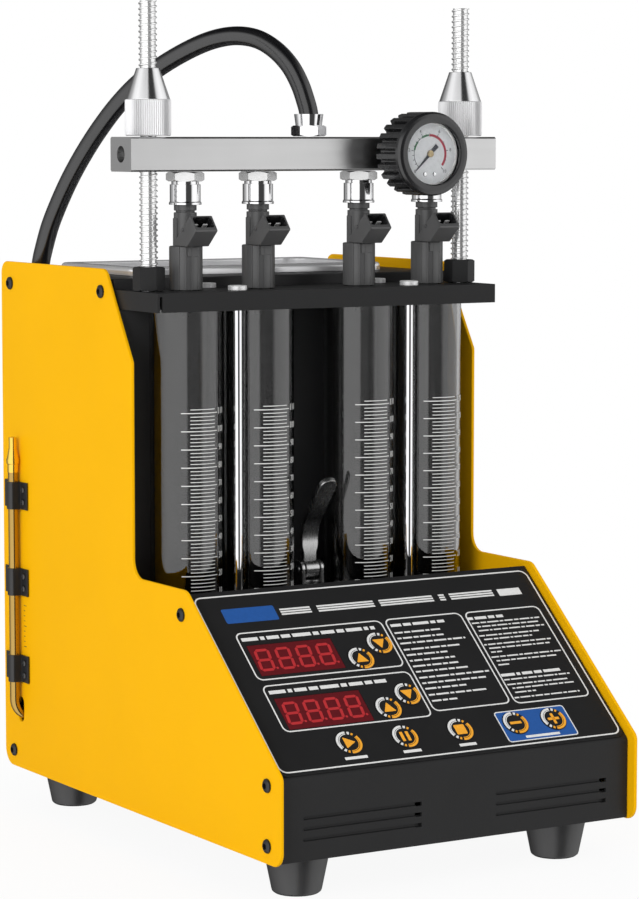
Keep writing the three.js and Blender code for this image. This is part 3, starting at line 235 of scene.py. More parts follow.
def nut(bm, across_flats, low, high, place=None, bore=0.0, turn=0.0):
    """A hexagon whose corners are turned off at both ends, as a nut's are"""
    part = bmesh.new()
    outline_face(part, hexagon(across_flats, turn), 1)
    raise_faces(part, low, high)
    shell = bmesh.new()
    flat = across_flats / 2
    corner = flat / math.cos(math.pi / 6)
    drop = (corner - flat) * 0.6
    profile = [(0, low), (flat, low), (corner, low + drop), (corner, high - drop), (flat, high), (0, high)]
    turned(shell, profile)
    both = boolean(part, shell, "INTERSECT")
    if bore:
        hole = bmesh.new()
        rod(hole, bore, low - 1, high + 1)
        both = boolean(both, hole, "DIFFERENCE")
    add(bm, both, place)


def words(bm, text, size, place=None, depth=INK, bend=0.0):
    """Plain raised figures, centred on the origin, bent round an upright cylinder where bend is its radius"""
    curve = bpy.data.curves.new("figures", "FONT")
    curve.body = text
    curve.size = size
    curve.resolution_u = 2
    curve.extrude = depth / 2
    curve.align_x = "CENTER"
    curve.align_y = "CENTER"
    holder = bpy.data.objects.new("figures", curve)
    bpy.context.scene.collection.objects.link(holder)
    shown = holder.evaluated_get(bpy.context.evaluated_depsgraph_get())
    part = bmesh.new()
    part.from_mesh(shown.to_mesh())
    shown.to_mesh_clear()
    bpy.data.objects.remove(holder)
    bpy.data.curves.remove(curve)
    bmesh.ops.translate(part, vec=(0, 0, depth / 2), verts=part.verts[:])
    if bend:
        bmesh.ops.transform(part, matrix=place, verts=part.verts[:])
        wrap(part, bend)
        place = None
    add(bm, part, place)


def wrap(part, radius):
    """Lays a flat drawing, x across and y up, on an upright cylinder that faces the front"""
    for vert in part.verts:
        angle = vert.co.x / radius
        reach = radius + vert.co.z
        vert.co = (reach * math.sin(angle), -reach * math.cos(angle), vert.co.y)


def temporary(bm, name):
    mesh = bpy.data.meshes.new(name)
    bm.to_mesh(mesh)
    bm.free()
    holder = bpy.data.objects.new(name, mesh)
    bpy.context.scene.collection.objects.link(holder)
    return holder


def boolean(bm, tool, operation):
    """The first drawing cut, joined or met by the second"""
    for drawing in (bm, tool):
        bmesh.ops.remove_doubles(drawing, verts=drawing.verts[:], dist=MM)
        bmesh.ops.recalc_face_normals(drawing, faces=drawing.faces[:])
    body, cutter = temporary(bm, "body"), temporary(tool, "cutter")
    modifier = body.modifiers.new("cut", "BOOLEAN")
    modifier.operation, modifier.solver, modifier.object = operation, "EXACT", cutter
    shown = body.evaluated_get(bpy.context.evaluated_depsgraph_get())
    result = bmesh.new()
    result.from_mesh(shown.to_mesh())
    shown.to_mesh_clear()
    for holder in (body, cutter):
        mesh = holder.data
        bpy.data.objects.remove(holder)
        bpy.data.meshes.remove(mesh)
    return result


def cut(bm, tool):
    return boolean(bm, tool, "DIFFERENCE")


def copy_of(node, soft=0.0, degrees=40):
    """A CAD node's own shape as a drawing, its edges softened"""
    part = bmesh.new()
    part.from_mesh(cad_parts[node].data)
    bmesh.ops.transform(part, matrix=TO_FRAME.inverted(), verts=part.verts[:])
    bmesh.ops.remove_doubles(part, verts=part.verts[:], dist=10 * MM)
    bmesh.ops.dissolve_limit(part, angle_limit=math.radians(0.5), verts=part.verts[:], edges=part.edges[:])
    if soft:
        soften(part, soft, degrees=degrees)
    return part


def piece(name, bm, finish, body="machine", instead_of=(), crease=32):
    """A finished piece in metres, which rides on a body and may stand for CAD nodes"""
    bmesh.ops.transform(bm, matrix=TO_FRAME, verts=bm.verts[:])
    mesh = bpy.data.meshes.new(name)
    bm.to_mesh(mesh)
    bm.free()
    mesh.materials.append(finish)
    mesh.shade_smooth()
    mesh.set_sharp_from_angle(angle=math.radians(crease))
    thing = bpy.data.objects.new(name, mesh)
    bpy.context.scene.collection.objects.link(thing)
    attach(thing, body)
    if instead_of:
        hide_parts(*([instead_of] if isinstance(instead_of, str) else instead_of))
    shading = thing.modifiers.new("even shading", "WEIGHTED_NORMAL")
    shading.keep_sharp = True
    return thing


def dress(node, finish):
    """Gives a CAD node that stays in view its finish"""
    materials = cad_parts[node].data.materials
    materials.clear()
    materials.append(finish)


# Finishes, procedural on each piece's own coordinates

def new_finish(name, color, roughness, metallic=0.0, sockets=None):
    material = bpy.data.materials.new(name)
    material.use_nodes = True
    material.diffuse_color = (*color, 1)
    shader = material.node_tree.nodes["Principled BSDF"]
    settings = {"Base Color": (*color, 1), "Roughness": roughness, "Metallic": metallic, **(sockets or {})}
    for socket, value in settings.items():
        shader.inputs[socket].default_value = value
    return material


def new_node(tree, kind, inputs=None, **settings):
    """A node with its settings and the values of its inputs"""
    node = tree.nodes.new(kind)
    for name, value in settings.items():
        setattr(node, name, value)
    for socket, value in (inputs or {}).items():
        node.inputs[socket].default_value = value
    return node


def wire(tree, *pairs):
    """Links each output to the input beside it"""
    for output, socket in pairs:
        tree.links.new(output, socket)


def grain(material, scale, detail=2.0, stretch=(1, 1, 1)):
    """Noise on the piece's coordinates in metres, drawn out where stretch is small"""
    tree = material.node_tree
    place = new_node(tree, "ShaderNodeTexCoord")
    mapping = new_node(tree, "ShaderNodeMapping", {"Scale": stretch})
    noise = new_node(tree, "ShaderNodeTexNoise", {"Scale": scale, "Detail": detail})
    wire(tree, (place.outputs["Object"], mapping.inputs["Vector"]),
         (mapping.outputs["Vector"], noise.inputs["Vector"]))
    return noise.outputs["Fac"]


def tint(material, mask, dark, light):
    """The colour wanders between two close ones"""
    tree = material.node_tree
    ramp = new_node(tree, "ShaderNodeValToRGB")
    for stop, position, color in zip(ramp.color_ramp.elements, (0.3, 0.7), (dark, light)):
        stop.position, stop.color = position, (*color, 1)
    wire(tree, (mask, ramp.inputs["Fac"]),
         (ramp.outputs["Color"], tree.nodes["Principled BSDF"].inputs["Base Color"]))


def polish(material, mask, smooth, rough):
    """The roughness wanders between two values"""
    tree = material.node_tree
    scale = new_node(tree, "ShaderNodeMapRange", {"To Min": smooth, "To Max": rough})
    wire(tree, (mask, scale.inputs["Value"]),
         (scale.outputs["Result"], tree.nodes["Principled BSDF"].inputs["Roughness"]))


def ripple(material, mask, strength, height):
    """Fine relief, with its height in metres"""
    tree = material.node_tree
    bump = new_node(tree, "ShaderNodeBump", {"Strength": strength, "Distance": height})
    wire(tree, (mask, bump.inputs["Height"]),
         (bump.outputs["Normal"], tree.nodes["Principled BSDF"].inputs["Normal"]))


def shades(color, spread):
    return [value * (1 - spread) for value in color], [min(1, value * (1 + spread)) for value in color]


def coated(name, color, roughness, peel, spread=0.04, shine=0.2):
    """Powder coat: a fine orange peel over a slightly uneven colour"""
    material = new_finish(name, color, roughness, 0.0, {"Specular IOR Level": shine})
    tint(material, grain(material, 14, 3), *shades(color, spread))
    polish(material, grain(material, 60, 2), roughness - 0.05, roughness + 0.05)
    ripple(material, grain(material, 900, 2), peel, 0.00015)
    return material


def moulded(name, color, roughness, spread=0.08, relief=0.12, shine=0.5):
    """Moulded plastic or rubber with a fine matt skin"""
    material = new_finish(name, color, roughness, 0.0, {"Specular IOR Level": shine})
    tint(material, grain(material, 40, 3), *shades(color, spread))
    polish(material, grain(material, 150, 2), roughness - 0.06, roughness + 0.06)
    ripple(material, grain(material, 1800, 2), relief, 0.0001)
    return material


def metal(name, color, roughness, stretch=(1, 1, 1), lines=0.0, spread=0.03, share=1.0):
    """Bare metal, with fine lines drawn out along the axes where stretch is small"""
    material = new_finish(name, color, roughness, share)
    mask = grain(material, 700, 3, stretch)
    tint(material, grain(material, 30, 2), *shades(color, spread))
    polish(material, mask, max(0.02, roughness - 0.05), roughness + 0.06)
    if lines:
        ripple(material, mask, lines, 0.00005)
    return material


def printed(name, color, roughness=0.4):
    """Screen printing ink"""
    material = new_finish(name, color, roughness, 0.0, {"Specular IOR Level": 0.2})
    tint(material, grain(material, 500, 2), *shades(color, 0.05))
    return material


def clear(name, color, roughness, ior):
    """Glass and clear plastic, with faint streaks in its polish"""
    material = new_finish(name, color, roughness, 0.0, {"Transmission Weight": 1.0, "IOR": ior})
    polish(material, grain(material, 60, 2, (1, 1, 0.1)), roughness, roughness + 0.02)
    return material


finishes = {}


def make_finishes(cabinet, controls):
    yellow, black = tuple(cabinet.yellow), tuple(cabinet.black)
    finishes.update(
        yellow=coated("yellow powder coat", yellow, 0.42, 0.1, 0.015, 0.03),
        black=coated("black powder coat", black, 0.42, 0.25, 0.08, 0.2),
        bay_black=coated("bay powder coat", shades(black, 0.6)[1], 0.42, 0.25, 0.08, 0.35),
        film=moulded("overlay film", tuple(controls.film), 0.34, 0.05, 0.05, 0.25),
        white_ink=printed("white ink", (0.80, 0.80, 0.79)),
        orange_ink=printed("orange ink", tuple(controls.orange)),
        blue_ink=printed("blue ink", tuple(controls.blue)),
        display=printed("display window", (0.125, 0.010, 0.014), 0.25),
        digit=printed("display digits", (0.50, 0.03, 0.035), 0.3),
        aluminium=metal("drawn aluminium", (0.68, 0.68, 0.68), 0.3, (0.02, 1, 1), 0.08),
        turned_aluminium=metal("turned aluminium", (0.82, 0.82, 0.83), 0.34, (1, 1, 6), 0.05, 0.03, 0.5),
        zinc=metal("zinc plate", (0.90, 0.90, 0.90), 0.16, (1, 1, 1), 0.0, 0.02, 0.75),
        polished_aluminium=metal("polished aluminium", (0.86, 0.86, 0.87), 0.16, (1, 1, 6), 0.05),
        chrome=metal("chrome plate", (0.88, 0.88, 0.89), 0.05),
        stainless=metal("polished stainless steel", (0.86, 0.86, 0.87), 0.2, (0.05, 1, 1), 0.04, 0.03, 0.55),
        nickel=metal("nickel plate", (0.80, 0.80, 0.80), 0.24, (1, 1, 1), 0.0, 0.02, 0.75),
        satin=metal("satin nickel plate", (0.86, 0.86, 0.86), 0.4, (1, 1, 1), 0.0, 0.02, 0.5),
        gunmetal=metal("bright burnished steel", (0.62, 0.62, 0.62), 0.26, (1, 1, 0.1), 0.04),
        plastic=moulded("dark grey nylon", (0.075, 0.075, 0.076), 0.36, 0.08, 0.1, 0.6),
        black_plastic=moulded("black plastic", (0.012, 0.012, 0.013), 0.28),
        rubber=moulded("black rubber", (0.007, 0.007, 0.008), 0.32, 0.1, 0.06, 0.7),
        boot=moulded("boot rubber", (0.011, 0.011, 0.012), 0.26, 0.1, 0.05, 0.8),
        hose=moulded("hose rubber", (0.006, 0.006, 0.007), 0.2, 0.1, 0.03, 0.9),
        foot_rubber=moulded("foot rubber", (0.035, 0.035, 0.036), 0.36, 0.08, 0.1, 0.6),
        glass=clear("tube glass", (0.40, 0.40, 0.40), 0.0, 1.72),
        lens=clear("gauge lens", (0.98, 0.98, 0.98), 0.0, 1.3),
        brass=metal("polished brass", (0.90, 0.62, 0.12), 0.14, (1, 1, 0.1)),
        hub_brass=metal("dull brass", (0.42, 0.33, 0.18), 0.3, (1, 1, 1)),
        enamel=printed("dial enamel", (0.80, 0.82, 0.84), 0.45),
        dial_ink=printed("dial ink", (0.02, 0.025, 0.04)),
        dial_green=printed("dial green", (0.05, 0.24, 0.09)),
        dial_red=printed("dial red", (0.42, 0.02, 0.05)),
        board=printed("circuit board lacquer", (0.02, 0.12, 0.05)),
        tank_white=moulded("white polythene", (0.70, 0.71, 0.70), 0.4),
        amber=metal("lacquered brass tube", (0.46, 0.30, 0.09), 0.16, (1, 1, 0.1)),
    )


# Sizes and colours that a user would change

def length(name, default, description):
    return FloatProperty(name=name, default=default, min=0, description=description + ", in millimetres")


def colour(name, default, description):
    return FloatVectorProperty(name=name, default=default, size=3, min=0, max=1, subtype="COLOR",
                               description=description)


def count(name, default, least, description):
    return IntProperty(name=name, default=default, min=least, description=description)


def power(name, default, description):
    return FloatProperty(name=name, default=default, min=0, unit="POWER", description=description)


class CabinetSettings(bpy.types.PropertyGroup):
    yellow: colour("Side panels", (0.97, 0.50, 0.003), "Powder coat of the side panels")
    black: colour("Covers", (0.0185, 0.0185, 0.019), "Powder coat of the covers")
    bend: length("Bend radius", 3.5, "Outer radius of the front cover's bends")
    edge: length("Edge radius", 0.6, "Rounding of the panels' cut edges")
    screw_head: length("Screw head", 7.6, "Diameter of the panel screws' button heads")


class ControlSettings(bpy.types.PropertyGroup):
    film: colour("Film", (0.0175, 0.0175, 0.018), "Printed film of the control face")
    orange: colour("Orange", (0.96, 0.42, 0.03), "Orange of the keys")
    blue: colour("Blue", (0.02, 0.10, 0.36), "Panel behind the pressure keys")
    line: length("Line width", 0.8, "Width of the printed lines")
    digit_height: length("Digit height", 13.6, "Height of the display's digits")


class TubeSettings(bpy.types.PropertyGroup):
    wall: length("Wall", 2.1, "Wall of the glass tubes")
    step: length("Mark step", 9.9, "Height between two numbered marks")
    marks: count("Numbered marks", 11, 1, "How many numbered marks a tube has")
    minor: count("Minor marks", 5, 1, "Into how many steps a numbered one is cut")


class RailSettings(bpy.types.PropertyGroup):
    pitch: length("Thread pitch", 3.0, "Pitch of the clamp rods' thread")
    thread: length("Thread depth", 0.75, "Depth of the clamp rods' thread")
    knurls: count("Knurls", 64, 12, "Ridges round a clamp nut")


class GaugeSettings(bpy.types.PropertyGroup):
    ribs: count("Boot ribs", 24, 6, "Ribs round the rubber boot")
    needle: length("Needle", 13.0, "Length of the needle from its hub")


class StageSettings(bpy.types.PropertyGroup):
    sky: FloatProperty(name="Sky", default=0.62, min=0, description="Even light from all round")
    key: power("Key lamp", 34.0, "Lamp on the left")
    fill: power("Fill lamp", 7.0, "Lamp above the front")
    lens: FloatProperty(name="Lens", default=125.65, min=1, unit="CAMERA", description="Focal length")


# Stage

CAMERA_PLACE = (-0.901, -1.5045, 0.391)
CAMERA_YAW, CAMERA_PITCH, CAMERA_ROLL = math.radians(31.14), math.radians(5.69), math.radians(0.02)
FLOOR_HALF = 6.0
# How white the floor is near the object, and the distances between which it turns fully white
FLOOR_NEAR, FLOOR_FADE = 0.93, (0.12, 0.5)
KEY_PLACE, KEY_SIZE = (-2.4, -1.3, 1.0), 1.5
FILL_PLACE, FILL_SIZE = (0.9, -1.9, 1.5), 1.6
LAMP_TARGET = Vector((0, 0, 0.2))
# Brightness of the room that polished pieces mirror, by azimuth in degrees from +X, as a share of its level
ROOM_CARDS = [(-164, 1.0), (-119, 1.0), (-111, 0.04), (-76, 0.04), (-60, 0.8), (-40, 0.85), (-10, 0.7),
              (20, 0.3), (50, 0.06), (95, 0.08), (125, 0.3), (160, 0.8)]
ROOM_LEVEL, ROOM_CEILING, ROOM_TOP = 1.35, 0.05, (0.45, 0.8)
WHITE = (1, 1, 1, 1)


class TESTER_OT_stage(bpy.types.Operator):
    """Makes the camera, the floor, the even sky and the two lamps"""
    bl_idname = "tester.stage"
    bl_label = "Stage"

    def execute(self, context):
        settings = context.scene.tester_stage
        context.scene.view_settings.view_transform = "Standard"
        self.make_camera(context, settings)
        self.make_sky(context, settings)
        self.make_floor(context)
        self.make_lamp(context, "key lamp", KEY_PLACE, KEY_SIZE, settings.key)
        self.make_lamp(context, "fill lamp", FILL_PLACE, FILL_SIZE, settings.fill)
        return {"FINISHED"}

    def make_camera(self, context, settings):
        data = bpy.data.cameras.new("camera")
        data.lens = settings.lens
        data.sensor_width = 36
        data.clip_end = 50
        camera = bpy.data.objects.new("camera", data)
        turn = Matrix.Rotation(-CAMERA_YAW, 4, "Z") @ Matrix.Rotation(math.pi / 2 - CAMERA_PITCH, 4, "X")
        camera.matrix_world = Matrix.Translation(CAMERA_PLACE) @ turn @ Matrix.Rotation(CAMERA_ROLL, 4, "Z")
        context.scene.collection.objects.link(camera)
        context.scene.camera = camera

    def make_sky(self, context, settings):
        world = bpy.data.worlds.new("sky")
        context.scene.world = world
        world.use_nodes = True
        tree = world.node_tree
        tree.nodes.clear()
        output = new_node(tree, "ShaderNodeOutputWorld")
        even = new_node(tree, "ShaderNodeBackground", {"Color": WHITE, "Strength": settings.sky})
        white = new_node(tree, "ShaderNodeBackground", {"Color": WHITE, "Strength": 1.0})
        room = new_node(tree, "ShaderNodeBackground")
        depth = self.make_room(tree, room)
        rays = new_node(tree, "ShaderNodeLightPath")
        polished = new_node(tree, "ShaderNodeMath", operation="MAXIMUM")
        behind = new_node(tree, "ShaderNodeMath", {1: 0.0}, operation="GREATER_THAN")
        backdrop = new_node(tree, "ShaderNodeMath", operation="MULTIPLY")
        seen, mirrored, through = (new_node(tree, "ShaderNodeMixShader") for _ in range(3))
        wire(tree, (rays.outputs["Is Glossy Ray"], polished.inputs[0]),
             (rays.outputs["Is Transmission Ray"], polished.inputs[1]),
             (depth, behind.inputs[0]),
             (behind.outputs["Value"], backdrop.inputs[0]),
             (rays.outputs["Is Transmission Ray"], backdrop.inputs[1]),
             (polished.outputs["Value"], mirrored.inputs["Fac"]),
             (even.outputs["Background"], mirrored.inputs[1]),
             (room.outputs["Background"], mirrored.inputs[2]),
             (backdrop.outputs["Value"], through.inputs["Fac"]),
             (mirrored.outputs["Shader"], through.inputs[1]),
             (white.outputs["Background"], through.inputs[2]),
             (rays.outputs["Is Camera Ray"], seen.inputs["Fac"]),
             (through.outputs["Shader"], seen.inputs[1]),
             (white.outputs["Background"], seen.inputs[2]),
             (seen.outputs["Shader"], output.inputs["Surface"]))

    def make_room(self, tree, room):
        """What polished pieces mirror: a room bright to both sides, dark in front, behind and overhead"""
        direction = new_node(tree, "ShaderNodeTexCoord")
        parts = new_node(tree, "ShaderNodeSeparateXYZ")
        azimuth = new_node(tree, "ShaderNodeMath", operation="ARCTAN2")
        share = new_node(tree, "ShaderNodeMapRange", {"From Min": -math.pi, "From Max": math.pi})
        cards = new_node(tree, "ShaderNodeValToRGB")
        cards.color_ramp.interpolation = "EASE"
        stops = cards.color_ramp.elements
        stops[0].position, stops[1].position = 0.0, 1.0
        for degrees, value in ROOM_CARDS:
            stop = stops.new((degrees + 180) / 360)
            stop.color = (value, value, value, 1)
        stops[0].color = stops[-1].color = WHITE
        heights = {"From Min": ROOM_TOP[0], "From Max": ROOM_TOP[1],
                   "To Min": ROOM_LEVEL, "To Max": ROOM_CEILING}
        height = new_node(tree, "ShaderNodeMapRange", heights, interpolation_type="SMOOTHSTEP")
        wire(tree, (direction.outputs["Generated"], parts.inputs["Vector"]),
             (parts.outputs["Y"], azimuth.inputs[0]),
             (parts.outputs["X"], azimuth.inputs[1]),
             (azimuth.outputs["Value"], share.inputs["Value"]),
             (share.outputs["Result"], cards.inputs["Fac"]),
             (cards.outputs["Color"], room.inputs["Color"]),
             (parts.outputs["Z"], height.inputs["Value"]),
             (height.outputs["Result"], room.inputs["Strength"]))
        return parts.outputs["Y"]

    def make_floor(self, context):
        """A pale floor whose far part is as white as the sky behind it"""
        part = bmesh.new()
        bmesh.ops.create_grid(part, x_segments=1, y_segments=1, size=FLOOR_HALF)
        mesh = bpy.data.meshes.new("floor")
        part.to_mesh(mesh)
        part.free()
        floor = bpy.data.objects.new("floor", mesh)
        context.scene.collection.objects.link(floor)
        material = new_finish("floor paper", (0.90, 0.90, 0.90), 0.8)
        tree = material.node_tree
        place = new_node(tree, "ShaderNodeTexCoord")
        reach = new_node(tree, "ShaderNodeVectorMath", operation="LENGTH")
        fades = {"From Min": FLOOR_FADE[0], "From Max": FLOOR_FADE[1], "To Min": FLOOR_NEAR}
        fade = new_node(tree, "ShaderNodeMapRange", fades, interpolation_type="SMOOTHSTEP")
        glow = new_node(tree, "ShaderNodeEmission")
        mix = new_node(tree, "ShaderNodeMixShader")
        rays = new_node(tree, "ShaderNodeLightPath")
        direct = new_node(tree, "ShaderNodeMath", operation="MAXIMUM")
        share = new_node(tree, "ShaderNodeMath", operation="MULTIPLY")
        wire(tree, (place.outputs["Object"], reach.inputs[0]),
             (reach.outputs["Value"], fade.inputs["Value"]),
             (rays.outputs["Is Camera Ray"], direct.inputs[0]),
             (rays.outputs["Is Transmission Ray"], direct.inputs[1]),
             (fade.outputs["Result"], share.inputs[0]),
             (direct.outputs["Value"], share.inputs[1]),
             (share.outputs["Value"], mix.inputs["Fac"]),
             (tree.nodes["Principled BSDF"].outputs["BSDF"], mix.inputs[1]),
             (glow.outputs["Emission"], mix.inputs[2]),
             (mix.outputs["Shader"], tree.nodes["Material Output"].inputs["Surface"]))
        mesh.materials.append(material)
        floor.visible_glossy = False

    def make_lamp(self, context, name, place, size, power):
        data = bpy.data.lights.new(name, "AREA")
        data.shape = "DISK"
        data.size = size
        data.energy = power
        lamp = bpy.data.objects.new(name, data)
        aim = LAMP_TARGET - Vector(place)
        lamp.matrix_world = Matrix.Translation(place) @ aim.to_track_quat("-Z", "Y").to_matrix().to_4x4()
        lamp.visible_glossy = False
        context.scene.collection.objects.link(lamp)


# Supply hose

HOSE_DIAMETER = 10.6
DECK_TOP = span("top_deck")[1].z
HOSE_START = (middle("deck_hose_fitting").x, middle("deck_hose_fitting").y)
# The hose's route, as the run from the deck fitting towards the rail fitting and the height above the deck
HOSE_ROUTE = [
    (0, -6), (0, 0), (0.8, 6), (2.6, 13), (7, 26.6), (13.4, 40.6), (20.8, 54.4), (29.6, 68.2),
    (39.8, 82), (52, 96), (66, 108.6), (82.3, 119), (99.5, 127.4), (114, 132.3), (127.8, 134), (140.5, 132),
    (151.5, 126), (160.5, 117.2), (166.6, 107), (170.4, 97), (172.1, 90.6), (172.1, 85.5),
]
HOSE_SIDES, HOSE_STEPS = 24, 6
HOSE_BORE = HOSE_DIAMETER / 2 + 0.1  # of the two fittings
# The rail fitting's hexagon and the ferrule above it, and the grommet in the deck
HOSE_NUT, HOSE_NUT_HEIGHT = 17.0, 6.0
FERRULE_NECK, FERRULE_RIM = 7.35, 8.15
GROMMET_NECK, GROMMET_FLANGE = 7.5, 10.0


def hose_points():
    """Points close together on one smooth curve through the route"""
    start = Vector((*HOSE_START, DECK_TOP))
    towards = (Vector((0, STAND_Y, DECK_TOP)) - start).normalized()
    knots = [start + towards * run + UP * rise for run, rise in HOSE_ROUTE]
    knots = [2 * knots[0] - knots[1]] + knots + [2 * knots[-1] - knots[-2]]
    points = []
    for before, here, there, after in zip(knots, knots[1:], knots[2:], knots[3:]):
        for step in range(HOSE_STEPS):
            t = step / HOSE_STEPS
            points.append(
                ((3 * here - before - 3 * there + after) * t ** 3
                 + (2 * before - 5 * here + 4 * there - after) * t ** 2
                 + (there - before) * t + 2 * here) / 2
            )
    return points + [knots[-2]]


def tube_along(points, radius, sides, closed_ends=True):
    """A round bar whose middle line runs through the points"""
    part = bmesh.new()
    rings = []
    side = None
    for i, point in enumerate(points):
        ahead = (points[min(i + 1, len(points) - 1)] - points[max(i - 1, 0)]).normalized()
        if side is None:
            side = ahead.orthogonal().normalized()
        side = (side - ahead * side.dot(ahead)).normalized()
        turn = Matrix((side, ahead.cross(side), ahead)).transposed().to_4x4()
        made = bmesh.ops.create_circle(part, segments=sides, radius=radius, cap_ends=False,
                                       matrix=Matrix.Translation(point) @ turn)
        rings.append(made["verts"])
    for a, b in zip(rings, rings[1:]):
        edges = [e for ring in (a, b) for e in {edge for vert in ring for edge in vert.link_edges}
                 if all(vert in ring for vert in e.verts)]
        bmesh.ops.bridge_loops(part, edges=edges)
    if closed_ends:
        bmesh.ops.holes_fill(part, edges=part.edges[:], sides=0)
    return part


class TESTER_OT_supply_hose(bpy.types.Operator):
    """Makes the rubber hose in its arch from the deck to the rail, with both fittings"""
    bl_idname = "tester.supply_hose"
    bl_label = "Supply hose"

    def execute(self, context):
        points = hose_points()
        bm = bmesh.new()
        add(bm, tube_along(points, HOSE_DIAMETER / 2, HOSE_SIDES))
        hose = piece("supply_hose_rubber", bm, finishes["hose"],
                     instead_of="supply_hose", crease=60)
        hose.parent = None
        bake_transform(hose)
        self.rail_fitting()
        self.deck_fitting()
        return {"FINISHED"}

    def level(self, path):
        """The rail end at the deck end's height, so that only the run decides the bend"""
        return Vector((path[-1].x, path[-1].y, path[0].z))

    def rail_fitting(self):
        low, high = span("rail_hose_fitting")
        hex_top = low.z + HOSE_NUT_HEIGHT
        place = Matrix.Translation((0, STAND_Y, 0))
        bm = bmesh.new()
        nut(bm, HOSE_NUT, low.z, hex_top, place, turn=math.pi / 6)
        ferrule = [(HOSE_BORE, hex_top - 0.5), (FERRULE_NECK, hex_top - 0.5), (FERRULE_NECK, hex_top + 0.3),
                   (FERRULE_RIM, high.z), (HOSE_BORE, high.z)]
        turned(bm, ferrule, place, soft=0.2, closed=True)
        piece("rail_hose_ferrule", bm, finishes["chrome"], "rail", "rail_hose_fitting")

    def deck_fitting(self):
        low, high = span("deck_hose_fitting")
        flange = DECK_TOP + GAP
        profile = [(HOSE_BORE, low.z), (GROMMET_NECK, low.z), (GROMMET_NECK, flange),
                   (GROMMET_FLANGE, flange), (GROMMET_FLANGE - 0.6, high.z - 0.6),
                   (GROMMET_NECK - 0.3, high.z), (HOSE_BORE, high.z)]
        bm = bmesh.new()
        turned(bm, profile, Matrix.Translation((*HOSE_START, 0)), soft=0.2, closed=True)
        piece("deck_hose_grommet", bm, finishes["rubber"], instead_of="deck_hose_fitting")


# Cabinet

SIDE_SCREWS = [(309.7, 284.4), (194.7, 284.4), (103.9, 116.8), (13.5, 40.9), (13.5, 9.6), (309.5, 9.7)]
VENT_HEIGHT, VENT_PITCH, VENT_LENGTH, VENT_INSET, VENT_DROP = 2.2, 5.6, 72.0, 14.4, 21.3
VENT_DEPTH, VENT_SLANT, VENT_MOUTH = 1.0, 0.7, 3.7
# Radii of the panels' corners: lower front, lower rear, top, stand, shelf, slope and nose
PANEL_RADII = {"front": 8, "rear": 10, "top": 7, "stand": 3, "shelf": 10, "slope": 8, "nose": 5}


def panel_outline():
    depth, height, radii = PANEL_HIGH.y, PANEL_HIGH.z, PANEL_RADII
    return [(0, 0, radii["front"]), (depth, 0, radii["rear"]), (depth, height, radii["top"]),
            (STAND_Y + CROWN_LEAN, height, radii["top"]),
            (STAND_Y, height - CROWN_DROP, radii["stand"]), (STAND_Y, SHELF_HEIGHT, radii["shelf"]),
            (SLOPE_RUN, SHELF_HEIGHT, radii["slope"]), (0, NOSE_HEIGHT, radii["nose"])]


class TESTER_OT_side_panels(bpy.types.Operator):
    """Makes both painted side panels with their screws"""
    bl_idname = "tester.side_panels"
    bl_label = "Side panels"

    def execute(self, context):
        settings = context.scene.tester_cabinet
        for side, sign in (("left", -1), ("right", 1)):
            low, high = span(side + "_side_panel")
            part = bmesh.new()
            plate(part, panel_outline(), low.x, high.x, 0, ACROSS, 8)
            if sign < 0:
                part = cut(part, self.sight_hole(low.x - 5, high.x + 5))
            soften(part, settings.edge, 2, 60)
            bm = bmesh.new()
            add(bm, part)
            piece(side + "_panel_sheet", bm, finishes["yellow"],
                  instead_of=side + "_side_panel")
            screws = bmesh.new()
            face = low.x if sign < 0 else high.x
            turn = Matrix.Rotation(sign * math.pi / 2, 4, "Y")
            for y, z in SIDE_SCREWS:
                self.screw(screws, settings.screw_head / 2, Matrix.Translation((face, y, z)) @ turn)
            piece(side + "_panel_screws", screws, finishes["black_plastic"])
        return {"FINISHED"}

    def sight_hole(self, low, high):
        hole = bmesh.new()
        corner = (SIGHT_Y - SIGHT_HOLE, SIGHT_BOTTOM - SIGHT_HOLE)
        opposite = (SIGHT_Y + SIGHT_HOLE, SIGHT_BOTTOM + SIGHT_BEND)
        plate(hole, rectangle(corner, opposite, SIGHT_HOLE - 0.1), low, high, 0, ACROSS, 6)
        return hole

    def screw(self, bm, radius, place):
        """A button head with a hexagon socket"""
        head = bmesh.new()
        turned(head, [(0, -1), (radius * 0.8, -1), (radius * 0.8, 0), (radius, 0.1), (radius * 0.93, 1.0),
                      (radius * 0.62, 1.75), (0, 2.0)], steps=32, soft=0.12)
        socket = bmesh.new()
        plate(socket, hexagon(3), 0.2, 3)
        add(bm, cut(head, socket), place)


